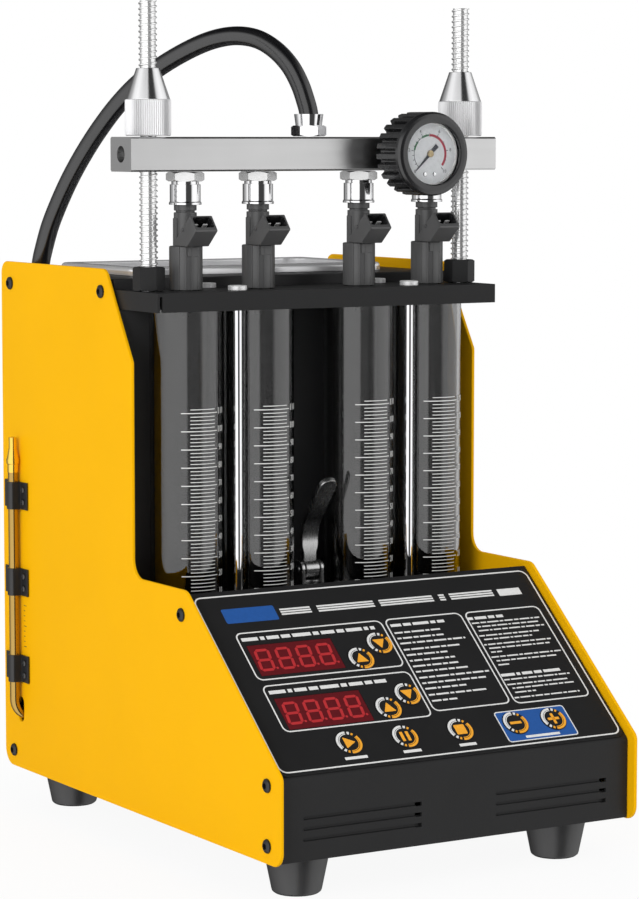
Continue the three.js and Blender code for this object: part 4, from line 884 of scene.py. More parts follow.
class TESTER_OT_front_cover(bpy.types.Operator):
    """Makes the folded front cover with its louvres"""
    bl_idname = "tester.front_cover"
    bl_label = "Front cover"

    def execute(self, context):
        settings = context.scene.tester_cabinet
        low, high = span("front_cover")
        outer = self.fold(0, low.z, settings.bend, COVER_FLANGE)
        inner = self.fold(SHEET, low.z - 5, settings.bend - SHEET, COVER_FLANGE + 5)
        body = bmesh.new()
        plate(body, outer, low.x, high.x, 0, ACROSS, 8)
        hollow = bmesh.new()
        plate(hollow, inner, low.x + SHEET, high.x - SHEET, 0, ACROSS, 8)
        body = cut(body, hollow)
        soften(body, 0.35, 2, 50)
        grooves, mouths = bmesh.new(), bmesh.new()
        self.louvres(grooves, mouths, high.x)
        body = cut(cut(body, grooves), mouths)
        bm = bmesh.new()
        add(bm, cut(body, face_openings(GAP, 32)))
        piece("front_cover_sheet", bm, finishes["black"], instead_of="front_cover")
        return {"FINISHED"}

    def fold(self, inset, bottom, radius, depth):
        """The cover's side outline, its face moved inwards by the inset"""
        face = COVER_RECESS + inset
        fold = FOLD + inset * math.tan(SLOPE) - inset / math.cos(SLOPE)
        slant = COVER_SLANT - inset
        top = (face + slant * math.cos(SLOPE), fold + slant * math.sin(SLOPE))
        under = (top[0] + depth * math.sin(SLOPE), top[1] - depth * math.cos(SLOPE))
        inner_fold = fold + depth * math.tan(SLOPE) - depth / math.cos(SLOPE)
        return [(face, bottom), (face + depth, bottom), (face + depth, inner_fold), under, top,
                (face, fold, radius)]

    def louvres(self, grooves, mouths, half):
        """Three pressed grooves on each side, each with an open mouth at its right end"""
        for side in (-1, 1):
            right = half - VENT_INSET if side > 0 else VENT_LENGTH - (half - VENT_INSET)
            left = right - VENT_LENGTH
            for row in range(3):
                bottom = FOLD - VENT_DROP - row * VENT_PITCH - VENT_HEIGHT / 2
                top = bottom + VENT_HEIGHT
                reach = VENT_HEIGHT / 2 - 0.05
                corners = [(left, bottom, reach), (right, bottom), (right, top), (left, top, reach)]
                groove = bmesh.new()
                plate(groove, corners, -COVER_RECESS - VENT_DEPTH, 1 - COVER_RECESS, 0, UPRIGHT)
                for vert in groove.verts:
                    if vert.co.y > COVER_RECESS:
                        vert.co.y = COVER_RECESS + VENT_DEPTH
                        vert.co.z = top - (top - vert.co.z) * (1 - VENT_SLANT / VENT_HEIGHT)
                add(grooves, groove)
                box(mouths, (right - VENT_MOUTH, COVER_RECESS - 1, bottom), (right, COVER_RECESS + 5, top))


class TESTER_OT_cabinet(bpy.types.Operator):
    """Gives the folded covers, the bay and the tube base softened edges and their finishes"""
    bl_idname = "tester.cabinet"
    bl_label = "Covers and bay"

    def execute(self, context):
        parts = {
            "base_pan": ("black", "black_paint"),
            "back_cover": ("black", "black_paint"),
            "top_deck": ("black", "black_paint"),
            "bay_housing": ("bay_black", "black_paint"),
            "injector_plate": ("black", "black_paint"),
            "tube_base": ("black_plastic", "black_plastic"),
            "power_inlet": ("black_plastic", "black_plastic"),
            "power_switch": ("black_plastic", "black_plastic"),
        }
        for node, (finish, slot) in parts.items():
            bm = bmesh.new()
            add(bm, copy_of(node, 0.3))
            body = "power_switch_body" if node == "power_switch" else "machine"
            piece(node + "_softened", bm, finishes[finish], body, node)
        dress("control_board", finishes["board"])
        dress("fluid_reservoir", finishes["tank_white"])
        self.feet()
        return {"FINISHED"}

    def feet(self):
        for end in ("front", "rear"):
            for side in ("left", "right"):
                node = "foot_%s_%s" % (end, side)
                low, high = span(node)
                centre = middle(node)
                top = (high.x - low.x) / 2
                profile = [(0, low.z), (4.5, low.z), (4.5, low.z + 3), (6.5, low.z + 3), (6.5, low.z),
                           (11.6, low.z), (12.9, low.z + 1), (13.25, low.z + 2), (top, high.z), (0, high.z)]
                bm = bmesh.new()
                turned(bm, profile, Matrix.Translation((centre.x, centre.y, 0)), 64, 0.3)
                piece(node + "_rubber", bm, finishes["foot_rubber"], instead_of=node)


# Control face

DISPLAYS = {"function": (-89.6, 67.9, -38.1, 89.1), "time": (-89.4, 30.9, -37.9, 52.1)}
BOXES = {
    "function": (-93.3, 64.8, -2, 98.3),
    "time": (-93.3, 29.2, -1.9, 61.3),
    "menu": (0, 32, 49.8, 98.5),
    "notes": (51.9, 31, 101.9, 98.2),
}
BORDER = (-107.3, 3.2, 107.3, 125)
PRESSURE_FRAME, PRESSURE_FIELD = (34.9, 5.8, 80.3, 27), (35.1, 6, 80.1, 26.8)
UPPER_FIELD = (-94, 105.2, -62, 115.4)
TITLE_WORDS = [(-59.2, -40.4), (-36.1, -0.3), (3.5, 38.1), (42.3, 46), (49.4, 78)]
# Rows of plain bars: start, end and height above the face's lower edge
MENU_ROWS = [(2.3, end, v) for end, v in (
    (31.7, 88.1), (32, 84.1), (44.3, 80.4), (38.2, 75.9), (28.4, 72), (31.3, 67.9), (31.4, 63.9), (35.6, 60),
    (47.2, 55.7), (43.2, 51.8), (28.5, 47.9), (39.1, 43.5), (18.3, 39.3))]
NOTE_ROWS = [
    (53.5, 98.5, 89.7), (55.7, 96.3, 86.9), (55.2, 98.8, 84), (53.6, 93.3, 80.3), (55.4, 87.2, 77.5),
    (53.5, 97.9, 73.8), (55.4, 95.6, 71), (55.2, 62.3, 68.2), (53.6, 99.7, 64.7), (55.5, 95.2, 61.8),
    (55.1, 62.2, 58.9), (53.4, 96.8, 48.2), (53.6, 93.3, 44.7), (55.6, 96.1, 41.9), (55.7, 69.4, 38.9),
    (53.5, 96.5, 35.3)]
HEADING_ROWS = [(2.4, 37.1, 93.5), (52.7, 75.9, 93.2), (53.1, 92, 51.5)]
LABEL_ROWS = {"start": 13.6, "pause": 11, "stop": 10.6}
WORD_LENGTHS = (4.6, 2.2, 6.1, 3.4, 5.2, 1.6, 7.0, 2.8)
FILM_GAP, KEY_RADIUS, KEY_TOP, KEY_SYMBOL = 0.2, 7.6, FILM_TOP + 0.5, 1.2
# A key's two printed rings, and where their white and their orange part start and end, in degrees
KEY_RINGS, WHITE_SPAN, ORANGE_SPAN = ((6.05, 7.35), (5.3, 5.75)), (88, 212), (-98, 32)
DIGIT_BAR, DIGIT_SLANT = 1.7, 0.1


def key_spot(name):
    """Where a key's middle lies on the control face"""
    spot = FACE.inverted() @ middle(name + "_button")
    return spot.x, spot.y


KEYS = {name: key_spot(name) for name in (
    "function_up", "function_down", "time_up", "time_down", "start", "pause", "stop",
    "pressure_less", "pressure_more")}


def face_openings(gap, steps):
    """What cuts the display windows and the key holes through the control face"""
    tools = bmesh.new()
    for left, bottom, right, top in DISPLAYS.values():
        box(tools, (left - gap, bottom - gap, -5), (right + gap, top + gap, 5), 0, FACE)
    for u, v in KEYS.values():
        rod(tools, KEY_RADIUS + gap, -5, 5, FACE @ Matrix.Translation((u, v, 0)), steps)
    return tools


class TESTER_OT_control_face(bpy.types.Operator):
    """Makes the printed film, the digit displays and the nine keys"""
    bl_idname = "tester.control_face"
    bl_label = "Control face"

    def execute(self, context):
        settings = context.scene.tester_controls
        self.film()
        self.printing(settings)
        for name, window in DISPLAYS.items():
            self.display(name, window, settings)
        for name, (u, v) in KEYS.items():
            self.key(name, FACE @ Matrix.Translation((u, v, 0)))
        return {"FINISHED"}

    def film(self):
        low, high = span("control_overlay")
        part = bmesh.new()
        margin = span("front_cover")[1].x - high.x
        shape = rectangle((low.x, margin), (high.x, COVER_SLANT - margin), 5)
        plate(part, shape, FILM_LOW, FILM_TOP, 0.12, FACE, 8)
        bm = bmesh.new()
        add(bm, cut(part, face_openings(FILM_GAP, 48)))
        piece("control_film", bm, finishes["film"], instead_of="control_overlay")

    def printing(self, settings):
        """Frames, fields and plain bars, each as thin as ink"""
        top = FILM_TOP + INK
        white = bmesh.new()
        frames = [(BORDER, 5, 1.1, FILM_TOP), *((area, 4, 1, FILM_TOP) for area in BOXES.values()),
                  (PRESSURE_FRAME, 2, 0.8, top)]
        for area, radius, share, level in frames:
            shape = rectangle(area[:2], area[2:], radius)
            line_frame(white, shape, settings.line * share, level, level + INK, FACE)
        piece("face_outlines", white, finishes["white_ink"])
        blue, field, holes = bmesh.new(), bmesh.new(), bmesh.new()
        plate(field, rectangle(PRESSURE_FIELD[:2], PRESSURE_FIELD[2:], 1.8), FILM_TOP, top, 0, FACE)
        for name in ("pressure_less", "pressure_more"):
            rod(holes, KEY_RADIUS + FILM_GAP, -5, 5, FACE @ Matrix.Translation((*KEYS[name], 0)), 48)
        add(blue, cut(field, holes))
        plate(blue, rectangle(UPPER_FIELD[:2], UPPER_FIELD[2:], 1), FILM_TOP, top, 0, FACE)
        piece("blue_fields", blue, finishes["blue_ink"])
        bars = bmesh.new()
        for start, end in TITLE_WORDS:
            for row in range(3):
                v = 108 + row * 1.7
                box(bars, (start, v, FILM_TOP), (end, v + 1.1, top), 0, FACE)
        box(bars, (81.5, 107.5, FILM_TOP), (96.5, 112.5, top), 0, FACE)
        for rows, height in ((MENU_ROWS, 1.1), (NOTE_ROWS, 0.9), (HEADING_ROWS, 1.9)):
            for number, (start, end, v) in enumerate(rows):
                self.word_bars(bars, start, end, v - height / 2, height, number, top)
        for name, reach in (("function", 82.7), ("time", 72)):
            start = DISPLAYS[name][0] - 1.1
            self.word_bars(bars, start, start + reach, DISPLAYS[name][3] + 3.1, 2.3, 2, top)
        for name, reach in LABEL_ROWS.items():
            u = KEYS[name][0]
            box(bars, (u - reach / 2, 7.2, FILM_TOP), (u + reach / 2, 9, top), 0, FACE)
        box(bars, (46.8, 7.6, top), (68.8, 9.2, top + INK), 0, FACE)
        piece("face_bars", bars, finishes["white_ink"])

    def word_bars(self, bm, start, end, v, height, number, top):
        """Plain bars as long as words with gaps between them, where a line of text would stand"""
        while start < end - 0.6:
            reach = start + WORD_LENGTHS[number % len(WORD_LENGTHS)] * (0.7 + height * 0.4)
            if reach > end - 2:
                reach = end
            box(bm, (start, v, FILM_TOP), (reach, v + height, top), 0, FACE)
            start = reach + 0.5 + height * 0.4
            number += 3

    def display(self, name, window, settings):
        low_u, low_v, high_u, high_v = window
        bm = bmesh.new()
        box(bm, (low_u, low_v, FILM_LOW + 0.05), (high_u, high_v, FILM_TOP - 0.05), 0.1, FACE)
        piece(name + "_display_window", bm, finishes["display"])
        digits = bmesh.new()
        height = settings.digit_height
        width = height * 0.56
        slant = Matrix(((1, DIGIT_SLANT, 0, 0), (0, 1, 0, 0), (0, 0, 1, 0), (0, 0, 0, 1)))
        pitch = (high_u - low_u - 1.5) / 4
        for column in range(4):
            u = low_u + 1.2 + pitch * (column + 0.42)
            v = (low_v + high_v) / 2
            place = FACE @ Matrix.Translation((u, v, 0)) @ slant
            self.digit(digits, width, height, place)
            dot = FACE @ Matrix.Translation((u + width / 2 + 1.3, v - height / 2 + 0.7, 0))
            rod(digits, 0.75, FILM_TOP - 0.05, FILM_TOP, dot, 12)
        piece(name + "_display_digits", digits, finishes["digit"])

    def digit(self, bm, width, height, place):
        """Seven bars with pointed ends"""
        thick, gap = DIGIT_BAR, 0.15
        half_w, half_h = width / 2, height / 2

        def bar(x, y, length, upright):
            half, tip = length / 2 - gap, thick / 2
            corners = [(-half, 0), (-half + tip, -tip), (half - tip, -tip), (half, 0), (half - tip, tip),
                       (-half + tip, tip)]
            turn = Matrix.Rotation(math.pi / 2 if upright else 0, 4, "Z")
            plate(bm, corners, FILM_TOP - 0.05, FILM_TOP, 0, place @ Matrix.Translation((x, y, 0)) @ turn)

        for y in (-half_h, 0, half_h):
            bar(0, y, width, False)
        for x in (-half_w, half_w):
            for y in (-half_h / 2, half_h / 2):
                bar(x, y, half_h, True)

    def key(self, name, place):
        body = name + "_key"
        node = name + "_button"
        cap = bmesh.new()
        turned(cap, [(0, -5.7), (2.5, -5.7), (2.5, KEY_TOP - 1.4), (KEY_RADIUS, KEY_TOP - 1.4),
                     (KEY_RADIUS, KEY_TOP - 0.25), (KEY_RADIUS - 0.3, KEY_TOP), (0, KEY_TOP)], place, 48)
        piece(name + "_cap", cap, finishes["film"], body, node)
        low, top = KEY_TOP, KEY_TOP + INK
        white, orange = bmesh.new(), bmesh.new()
        for inner, outer in KEY_RINGS:
            arc(white, inner, outer, *WHITE_SPAN, low, top, place)
            arc(orange, inner, outer, *ORANGE_SPAN, low, top, place)
        for angle in (72, 228):
            arc(white, 5.5, 7.2, angle - 6, angle + 6, low, top, place)
        for angle in (53, 247):
            arc(orange, 5.6, 7.1, angle - 5, angle + 5, low, top, place)
        self.symbol(orange, name, low, top, place)
        piece(name + "_white_ring", white, finishes["white_ink"], body)
        piece(name + "_orange_ring", orange, finishes["orange_ink"], body)

    def symbol(self, bm, name, low, top, place):
        shapes = {
            "up": [[(-3.1, -2.2, 0.3), (3.1, -2.2, 0.3), (0, 3.1, 0.3)]],
            "down": [[(-3.1, 2.2, 0.3), (0, -3.1, 0.3), (3.1, 2.2, 0.3)]],
            "start": [[(-2.2, -3.1, 0.3), (3.2, 0, 0.3), (-2.2, 3.1, 0.3)]],
            "pause": [rectangle((-2.2, -2.6), (-0.7, 2.6), 0.2), rectangle((0.7, -2.6), (2.2, 2.6), 0.2)],
            "stop": [rectangle((-2.7, -2.7), (2.7, 2.7), 0.4)],
            "less": [rectangle((-3, -0.7), (3, 0.7), 0.2)],
            "more": [rectangle((-3, -0.7), (3, 0.7), 0.2), rectangle((-0.7, -3), (0.7, 3), 0.2)],
        }
        for corners in shapes[name.split("_")[-1]]:
            plate(bm, corners, low, top, 0, place @ Matrix.Diagonal((KEY_SYMBOL, KEY_SYMBOL, 1, 1)))


# Measuring tubes

# How far the marks and the figures reach round a tube, and the height of the scale's zero
MINOR_HALF_ANGLE = math.radians(22)
MAJOR_ANGLES = (math.radians(-36.6), math.radians(27.6))
LABEL_ANGLE, LABEL_SIZE = math.radians(39.5), 5.0
SCALE_ZERO, MARK_HEIGHT = 111.0, 0.08


class TESTER_OT_measuring_tubes(bpy.types.Operator):
    """Makes the four glass tubes with their printed scales, and the clamp columns"""
    bl_idname = "tester.measuring_tubes"
    bl_label = "Measuring tubes"

    def execute(self, context):
        settings = context.scene.tester_tubes
        for number in range(1, 5):
            node = "measuring_tube_%d" % number
            low, high = span(node)
            outer = (high.x - low.x) / 2
            place = Matrix.Translation((middle(node).x, STAND_Y, 0))
            bm = bmesh.new()
            inner = outer - settings.wall
            wall = [(inner, low.z), (outer, low.z), (outer, high.z), (inner, high.z)]
            turned(bm, wall, place, 96, 0.4, True)
            piece(node + "_glass", bm, finishes["glass"], instead_of=node)
            self.scale(node, outer + 0.02, place, settings)
        self.columns()
        return {"FINISHED"}

    def scale(self, node, radius, place, settings):
        bm = bmesh.new()
        for mark in range(1, settings.marks * settings.minor + 2):
            height = SCALE_ZERO + mark * settings.step / settings.minor
            if mark % settings.minor:
                self.mark(bm, -MINOR_HALF_ANGLE, MINOR_HALF_ANGLE, height, radius, 0.42, place)
            else:
                self.mark(bm, *MAJOR_ANGLES, height, radius, 0.5, place)
        for number in range(1, settings.marks + 1):
            flat = Matrix.Translation((LABEL_ANGLE * radius, SCALE_ZERO + number * settings.step + 0.6, 0))
            figures = bmesh.new()
            words(figures, str(10 * number), LABEL_SIZE, flat, MARK_HEIGHT, radius)
            add(bm, figures, place)
        piece(node + "_scale", bm, finishes["white_ink"], crease=60)

    def mark(self, bm, start, end, height, radius, width, place):
        part = bmesh.new()
        steps = max(4, round(math.degrees(end - start) / 6))
        bmesh.ops.create_grid(part, x_segments=steps, y_segments=1, size=0.5)
        bmesh.ops.scale(part, vec=((end - start) * radius, width, 1), verts=part.verts[:])
        bmesh.ops.translate(part, vec=((start + end) / 2 * radius, height, 0), verts=part.verts[:])
        raise_faces(part, 0, MARK_HEIGHT)
        wrap(part, radius)
        add(bm, part, place)

    def columns(self):
        for end in ("front", "back"):
            for side in ("left", "right"):
                node = "clamp_column_%s_%s" % (end, side)
                low, high = span(node)
                centre = middle(node)
                head = PLATE_TOP + GAP
                rim = (high.x - low.x) / 2
                place = Matrix.Translation((centre.x, centre.y, 0))
                shaft, cap = bmesh.new(), bmesh.new()
                rod(shaft, 2.5, low.z, head + 0.5, place, 48, 0.1)
                piece(node + "_shaft", shaft, finishes["chrome"], instead_of=node)
                profile = [(0, head), (rim, head), (rim, high.z - 0.4), (rim - 0.4, high.z), (2.2, high.z),
                           (2, high.z - 1), (0, high.z - 1)]
                turned(cap, profile, place, 48, 0.1)
                piece(node + "_head", cap, finishes["satin"])


# Drain valve and lever

PIVOT_HEIGHT = 11.4
FORK_INNER, FORK_OUTER = 4.9, 7.3
# The lever's knee above its pivot, and how far its end lies in front of and above the knee
LEVER_KNEE, LEVER_RUN, LEVER_RISE = 23.0, 23.0, 29.5
LEVER_LEAN, LEVER_BEND = math.atan2(LEVER_RUN, LEVER_RISE), 16.0
LEVER_WIDTH, LEVER_SPREAD, LEVER_THICKNESS = 8.7, 10.8, 3.4


class TESTER_OT_drain_lever(bpy.types.Operator):
    """Makes the drain valve and the bent lever that works it"""
    bl_idname = "tester.drain_lever"
    bl_label = "Drain lever"

    def execute(self, context):
        foot = span("drain_valve")[0].z
        pivot = span("tube_base")[1].z + PIVOT_HEIGHT
        place = Matrix.Translation((0, STAND_Y, 0))
        pin = place @ Matrix.Translation((0, 0, pivot)) @ ALONG_X
        bm = bmesh.new()
        profile = [(0, foot), (7, foot), (7, foot + 1.4), (6.2, foot + 2), (6.2, foot + 3.4), (7, foot + 4),
                   (7, foot + 5.2), (0, foot + 5.2)]
        turned(bm, profile, place, 64, 0.25)
        for side in (-1, 1):
            near, far = sorted((side * FORK_INNER, side * FORK_OUTER))
            corners = [(-5, foot + 3), (5, foot + 3), (5, pivot + 5, 4.9), (-5, pivot + 5, 4.9)]
            plate(bm, corners, near, far, 0.5, place @ ACROSS, 10)
            rod(bm, 1.9, side * FORK_OUTER - 0.6, side * FORK_OUTER + 0.6, pin, 24, 0.3)
        rod(bm, 1.5, -7, 7, pin, 24)
        piece("drain_valve_body", bm, finishes["gunmetal"], instead_of="drain_valve")
        self.lever(place @ Matrix.Translation((0, 0, pivot)))
        return {"FINISHED"}

    def lever(self, place):
        hub = bmesh.new()
        rod(hub, 5.2, -4.5, 4.5, ALONG_X, 48, 0.6)
        bore = bmesh.new()
        rod(bore, 1.8, -9, 9, ALONG_X, 24)
        bm = bmesh.new()
        add(bm, cut(hub, bore), place)
        blade = bmesh.new()
        start, reach = 4.0, LEVER_KNEE + math.hypot(LEVER_RUN, LEVER_RISE)
        half = LEVER_WIDTH / 2
        wide, low_neck, neck = LEVER_SPREAD / 2, start + 5, start + 9
        corners = [(-half, start), (half, start), (half, low_neck), (wide, neck), (wide, reach, wide - 0.05),
                   (-wide, reach, wide - 0.05), (-wide, neck), (-half, low_neck)]
        plate(blade, corners, -LEVER_THICKNESS / 2, LEVER_THICKNESS / 2, 0, None, 10)
        for step in range(1, 16):
            distance = LEVER_KNEE - 9 + step * 18 / 16
            cutting = blade.verts[:] + blade.edges[:] + blade.faces[:]
            bmesh.ops.bisect_plane(blade, geom=cutting, plane_co=(0, distance, 0), plane_no=(0, 1, 0))
        soften(blade, 0.7, 2, 50)
        for vert in blade.verts:
            vert.co = self.bent(vert.co)
        add(bm, blade, place)
        piece("drain_lever_blade", bm, finishes["gunmetal"], "drain_lever_body",
              "drain_lever")

    def bent(self, point):
        """Where a point of the straight blade lies: upright below the knee, leaning to the front above it"""
        bend_start = LEVER_KNEE - LEVER_BEND / 2
        along = point.y
        radius = LEVER_BEND / LEVER_LEAN
        turn = min(max((along - bend_start) / LEVER_BEND, 0), 1) * LEVER_LEAN
        y = -radius * (1 - math.cos(turn))
        z = min(along, bend_start) + radius * math.sin(turn)
        beyond = max(along - bend_start - LEVER_BEND, 0)
        y -= beyond * math.sin(turn)
        z += beyond * math.cos(turn)
        return Vector((point.x, y + point.z * math.cos(turn), z + point.z * math.sin(turn)))


# Clamp rods, nuts and rail

ROD_RADIUS, ROD_STEPS = 5.0, 32
# One turn of the thread: each point's share of the pitch, and whether it lies on the crest
THREAD_SHAPE = ((0.0, False), (0.56, False), (0.68, True), (0.88, True))
LOCK_NUT, LOCK_NUT_HEIGHT = 15.2, 13.0
KNURL_HEIGHT, KNURL_DEPTH, NUT_BORE, CONE_TOP = 20.0, 0.5, 5.2, 6.3
FITTING_NUT, FITTING_NUT_HEIGHT = 18.2, 5.1


class TESTER_OT_rail(bpy.types.Operator):
    """Makes the threaded rods with their nuts, and the fuel rail with its fittings"""
    bl_idname = "tester.rail"
    bl_label = "Rods and rail"

    def execute(self, context):
        settings = context.scene.tester_rail
        for side, sign in (("left", -1), ("right", 1)):
            place = Matrix.Translation((sign * ROD_X, STAND_Y, 0))
            self.threaded_rod(side, place, settings)
            self.clamp_nut(side, place, settings)
        bm = bmesh.new()
        add(bm, copy_of("fuel_rail", 0.22, 30))
        piece("fuel_rail_bar", bm, finishes["aluminium"], "rail", "fuel_rail")
        for number, x in enumerate(TUBE_XS, 1):
            self.fitting(number, Matrix.Translation((x, STAND_Y, 0)))
        return {"FINISHED"}

    def threaded_rod(self, side, place, settings):
        node = "threaded_rod_" + side
        low, high = span(node)
        root = ROD_RADIUS - settings.thread
        shape = [(share, ROD_RADIUS if crest else root) for share, crest in THREAD_SHAPE]
        part = bmesh.new()
        turns = math.ceil((high.z - low.z) / settings.pitch) + 3
        points = [Vector((radius, 0, low.z + (turn - 2 + share) * settings.pitch))
                  for turn in range(turns) for share, radius in shape]
        verts = [part.verts.new(point) for point in points]
        for pair in zip(verts, verts[1:]):
            part.edges.new(pair)
        bmesh.ops.spin(part, geom=part.verts[:] + part.edges[:], cent=(0, 0, 0), axis=(0, 0, 1),
                       angle=2 * math.pi, steps=ROD_STEPS, dvec=(0, 0, settings.pitch / ROD_STEPS),
                       use_merge=False)
        bmesh.ops.remove_doubles(part, verts=part.verts[:], dist=0.01)
        for height, keep in ((low.z, 1), (high.z, -1)):
            cutting = part.verts[:] + part.edges[:] + part.faces[:]
            bmesh.ops.bisect_plane(part, geom=cutting, plane_co=(0, 0, height), plane_no=(0, 0, -keep),
                                   clear_outer=True)
        bmesh.ops.holes_fill(part, edges=[edge for edge in part.edges if edge.is_boundary], sides=0)
        bm = bmesh.new()
        add(bm, part, place)
        piece(node + "_thread", bm, finishes["zinc"], instead_of=node, crease=25)
        bottom = PLATE_TOP + GAP
        locknut = bmesh.new()
        nut(locknut, LOCK_NUT, bottom, bottom + LOCK_NUT_HEIGHT, place, ROD_RADIUS + 0.05, math.pi / 6)
        piece("lock_nut_" + side, locknut, finishes["black"])

    def clamp_nut(self, side, place, settings):
        node = "knurled_nut_" + side
        low, high = span(node)
        radius = (high.x - low.x) / 2
        shoulder = low.z + KNURL_HEIGHT
        bm = bmesh.new()
        ridges = bmesh.new()
        count = settings.knurls * 2
        step = 2 * math.pi / count
        corners = []
        for i in range(count):
            reach = radius if i % 2 else radius - KNURL_DEPTH
            corners.append((reach * math.cos(i * step), reach * math.sin(i * step)))
        plate(ridges, corners, low.z + 0.2, shoulder - 0.1)
        trim = bmesh.new()
        profile = [(NUT_BORE, low.z), (radius - 0.9, low.z), (radius + 0.1, low.z + 1),
                   (radius + 0.1, shoulder - 0.8), (radius - 0.7, shoulder), (NUT_BORE, shoulder)]
        turned(trim, profile, steps=96, closed=True)
        add(bm, boolean(ridges, trim, "INTERSECT"), place)
        piece(node + "_grip", bm, finishes["turned_aluminium"], node + "_body", node, 25)
        cone = bmesh.new()
        profile = [(NUT_BORE, shoulder - 1.5), (radius - 0.9, shoulder - 1.5),
                   (radius - 0.6, shoulder - 0.05), (CONE_TOP, high.z), (NUT_BORE, high.z)]
        turned(cone, profile, place, 96, 0.2, True)
        piece(node + "_cone", cone, finishes["polished_aluminium"], node + "_body")

    def fitting(self, number, place):
        node = "rail_fitting_%d" % number
        low, high = span(node)
        hex_low = high.z - FITTING_NUT_HEIGHT
        hexagonal = bmesh.new()
        nut(hexagonal, FITTING_NUT, hex_low, high.z, place, turn=math.pi / 6)
        piece(node + "_hexagon", hexagonal, finishes["nickel"], "rail")
        bm = bmesh.new()
        neck = hex_low - 1.6
        profile = [(6.5, low.z), (8.9, low.z), (8.9, low.z + 1.1), (8.4, low.z + 1.7), (8.4, neck),
                   (7.5, neck), (7.5, hex_low + 0.2), (6.5, hex_low + 0.2)]
        turned(bm, profile, place, 64, 0.15, True)
        piece(node + "_plated", bm, finishes["chrome"], "rail", node)


# Injectors

# The body's shoulder and groove above the plate, and the plug socket's hole, tilt, lip and half width
SHOULDER, GROOVE = 24.2, 42.4
SOCKET, SOCKET_CORNER, SOCKET_DEPTH = ((-5.85, -3), (5.85, 4.4)), 1.7, 8.5
PLUG_TILT, PLUG_LIP, PLUG_HALF = math.radians(40), (-24.4, SHOULDER + 8.7), 6.85
# Where the body's ribs stand round it, in degrees, and how wide they are
BODY_RIBS = ((-150, 3.4), (-118, 1.2), (-96, 1.2), (-60, 2.4), (-20, 3.4), (60, 3), (120, 3))


class TESTER_OT_injectors(bpy.types.Operator):
    """Makes the four injectors with their plug sockets"""
    bl_idname = "tester.injectors"
    bl_label = "Injectors"

    def execute(self, context):
        for number, x in enumerate(TUBE_XS, 1):
            self.injector(number, Matrix.Translation((x, STAND_Y, PLATE_TOP)))
        return {"FINISHED"}

    def injector(self, number, place):
        bm = bmesh.new()
        profile = [(0, -14), (2.4, -14), (2.4, -11), (6.6, -10.5), (6.6, 0.4), (8.9, 0.4),
                   (8.9, SHOULDER - 0.4), (8.5, SHOULDER), (6.3, SHOULDER), (6.3, GROOVE), (5.2, GROOVE),
                   (5.2, GROOVE + 1), (6.2, GROOVE + 1), (6.2, GROOVE + 4.4), (4.5, GROOVE + 4.4),
                   (4.5, GROOVE + 13), (0, GROOVE + 13)]
        turned(bm, profile, place, 64, 0.3)
        for angle, width in BODY_RIBS:
            turn = place @ Matrix.Rotation(math.radians(angle), 4, "Z")
            box(bm, (8.2, -width / 2, 0.4), (9.25, width / 2, SHOULDER - 0.2), 0.25, turn)
        box(bm, (-3.4, -9.1, SHOULDER - 5.5), (3.4, -7, SHOULDER - 0.4), 0.3, place)
        box(bm, (-6.7, -2.2, SHOULDER - 1), (-5, 2.2, GROOVE - 3), 0.4, place)
        ring = [(4.5, GROOVE + 7.9), (6.1, GROOVE + 8.1), (6.1, GROOVE + 10.6), (4.5, GROOVE + 10.9)]
        turned(bm, ring, place, 48, 0.6, True)
        add(bm, self.plug(), place)
        piece("injector_%d_body" % number, bm, finishes["plastic"],
              instead_of="injector_%d" % number)
        mouth = place @ self.mouth()
        pins, shade_lining = bmesh.new(), bmesh.new()
        for x in (-3, 3):
            box(pins, (x - 1.4, 1.4, -SOCKET_DEPTH), (x + 1.4, 2.2, -3.4), 0.15, mouth)
        piece("injector_%d_pins" % number, pins, finishes["satin"])
        # Painted shade: the socket's walls and floor are lined with black plastic, much darker than the
        # body's nylon, so that its hollow looks dark.
        hole = rectangle(*SOCKET, SOCKET_CORNER)
        line_frame(shade_lining, hole, 0.3, -SOCKET_DEPTH, -0.5, mouth)
        plate(shade_lining, hole, -SOCKET_DEPTH, 0.3 - SOCKET_DEPTH, 0, mouth, 4)
        piece("injector_%d_lining" % number, shade_lining, finishes["black_plastic"])

    def mouth(self):
        """The middle of the plug socket's mouth, its Z pointing out of the socket"""
        centre = Vector((0, *PLUG_LIP)) + Vector((0, math.sin(PLUG_TILT), math.cos(PLUG_TILT))) * 5.4
        return Matrix.Translation(centre) @ Matrix.Rotation(math.pi / 2 - PLUG_TILT, 4, "X")

    def plug(self):
        """The shroud that the pulse lead's plug goes into, and the web that carries it"""
        out = Vector((-math.cos(PLUG_TILT), math.sin(PLUG_TILT)))
        up = Vector((math.sin(PLUG_TILT), math.cos(PLUG_TILT)))
        lip = Vector(PLUG_LIP)
        root = lip - out * 13.5
        top = lip + up * 10.8
        back = top - out * (abs(top.x) / math.cos(PLUG_TILT))
        body = bmesh.new()
        corners = [(*lip, 0.8), (*root, 1.0), (0, root.y), (0, back.y), (*top, 0.8)]
        plate(body, corners, -PLUG_HALF, PLUG_HALF, 0.5, ACROSS, 4)
        socket = bmesh.new()
        plate(socket, rectangle(*SOCKET, SOCKET_CORNER), -SOCKET_DEPTH, 3, 0, self.mouth(), 4)
        bm = bmesh.new()
        add(bm, cut(body, socket))
        for side in (-1, 1):
            pin = Matrix.Translation((side * PLUG_HALF, -9.5, SHOULDER + 9)) @ ALONG_X
            rod(bm, 1.1, -0.5, 0.5, pin, 20, 0.3)
        return bm


# Pressure gauge

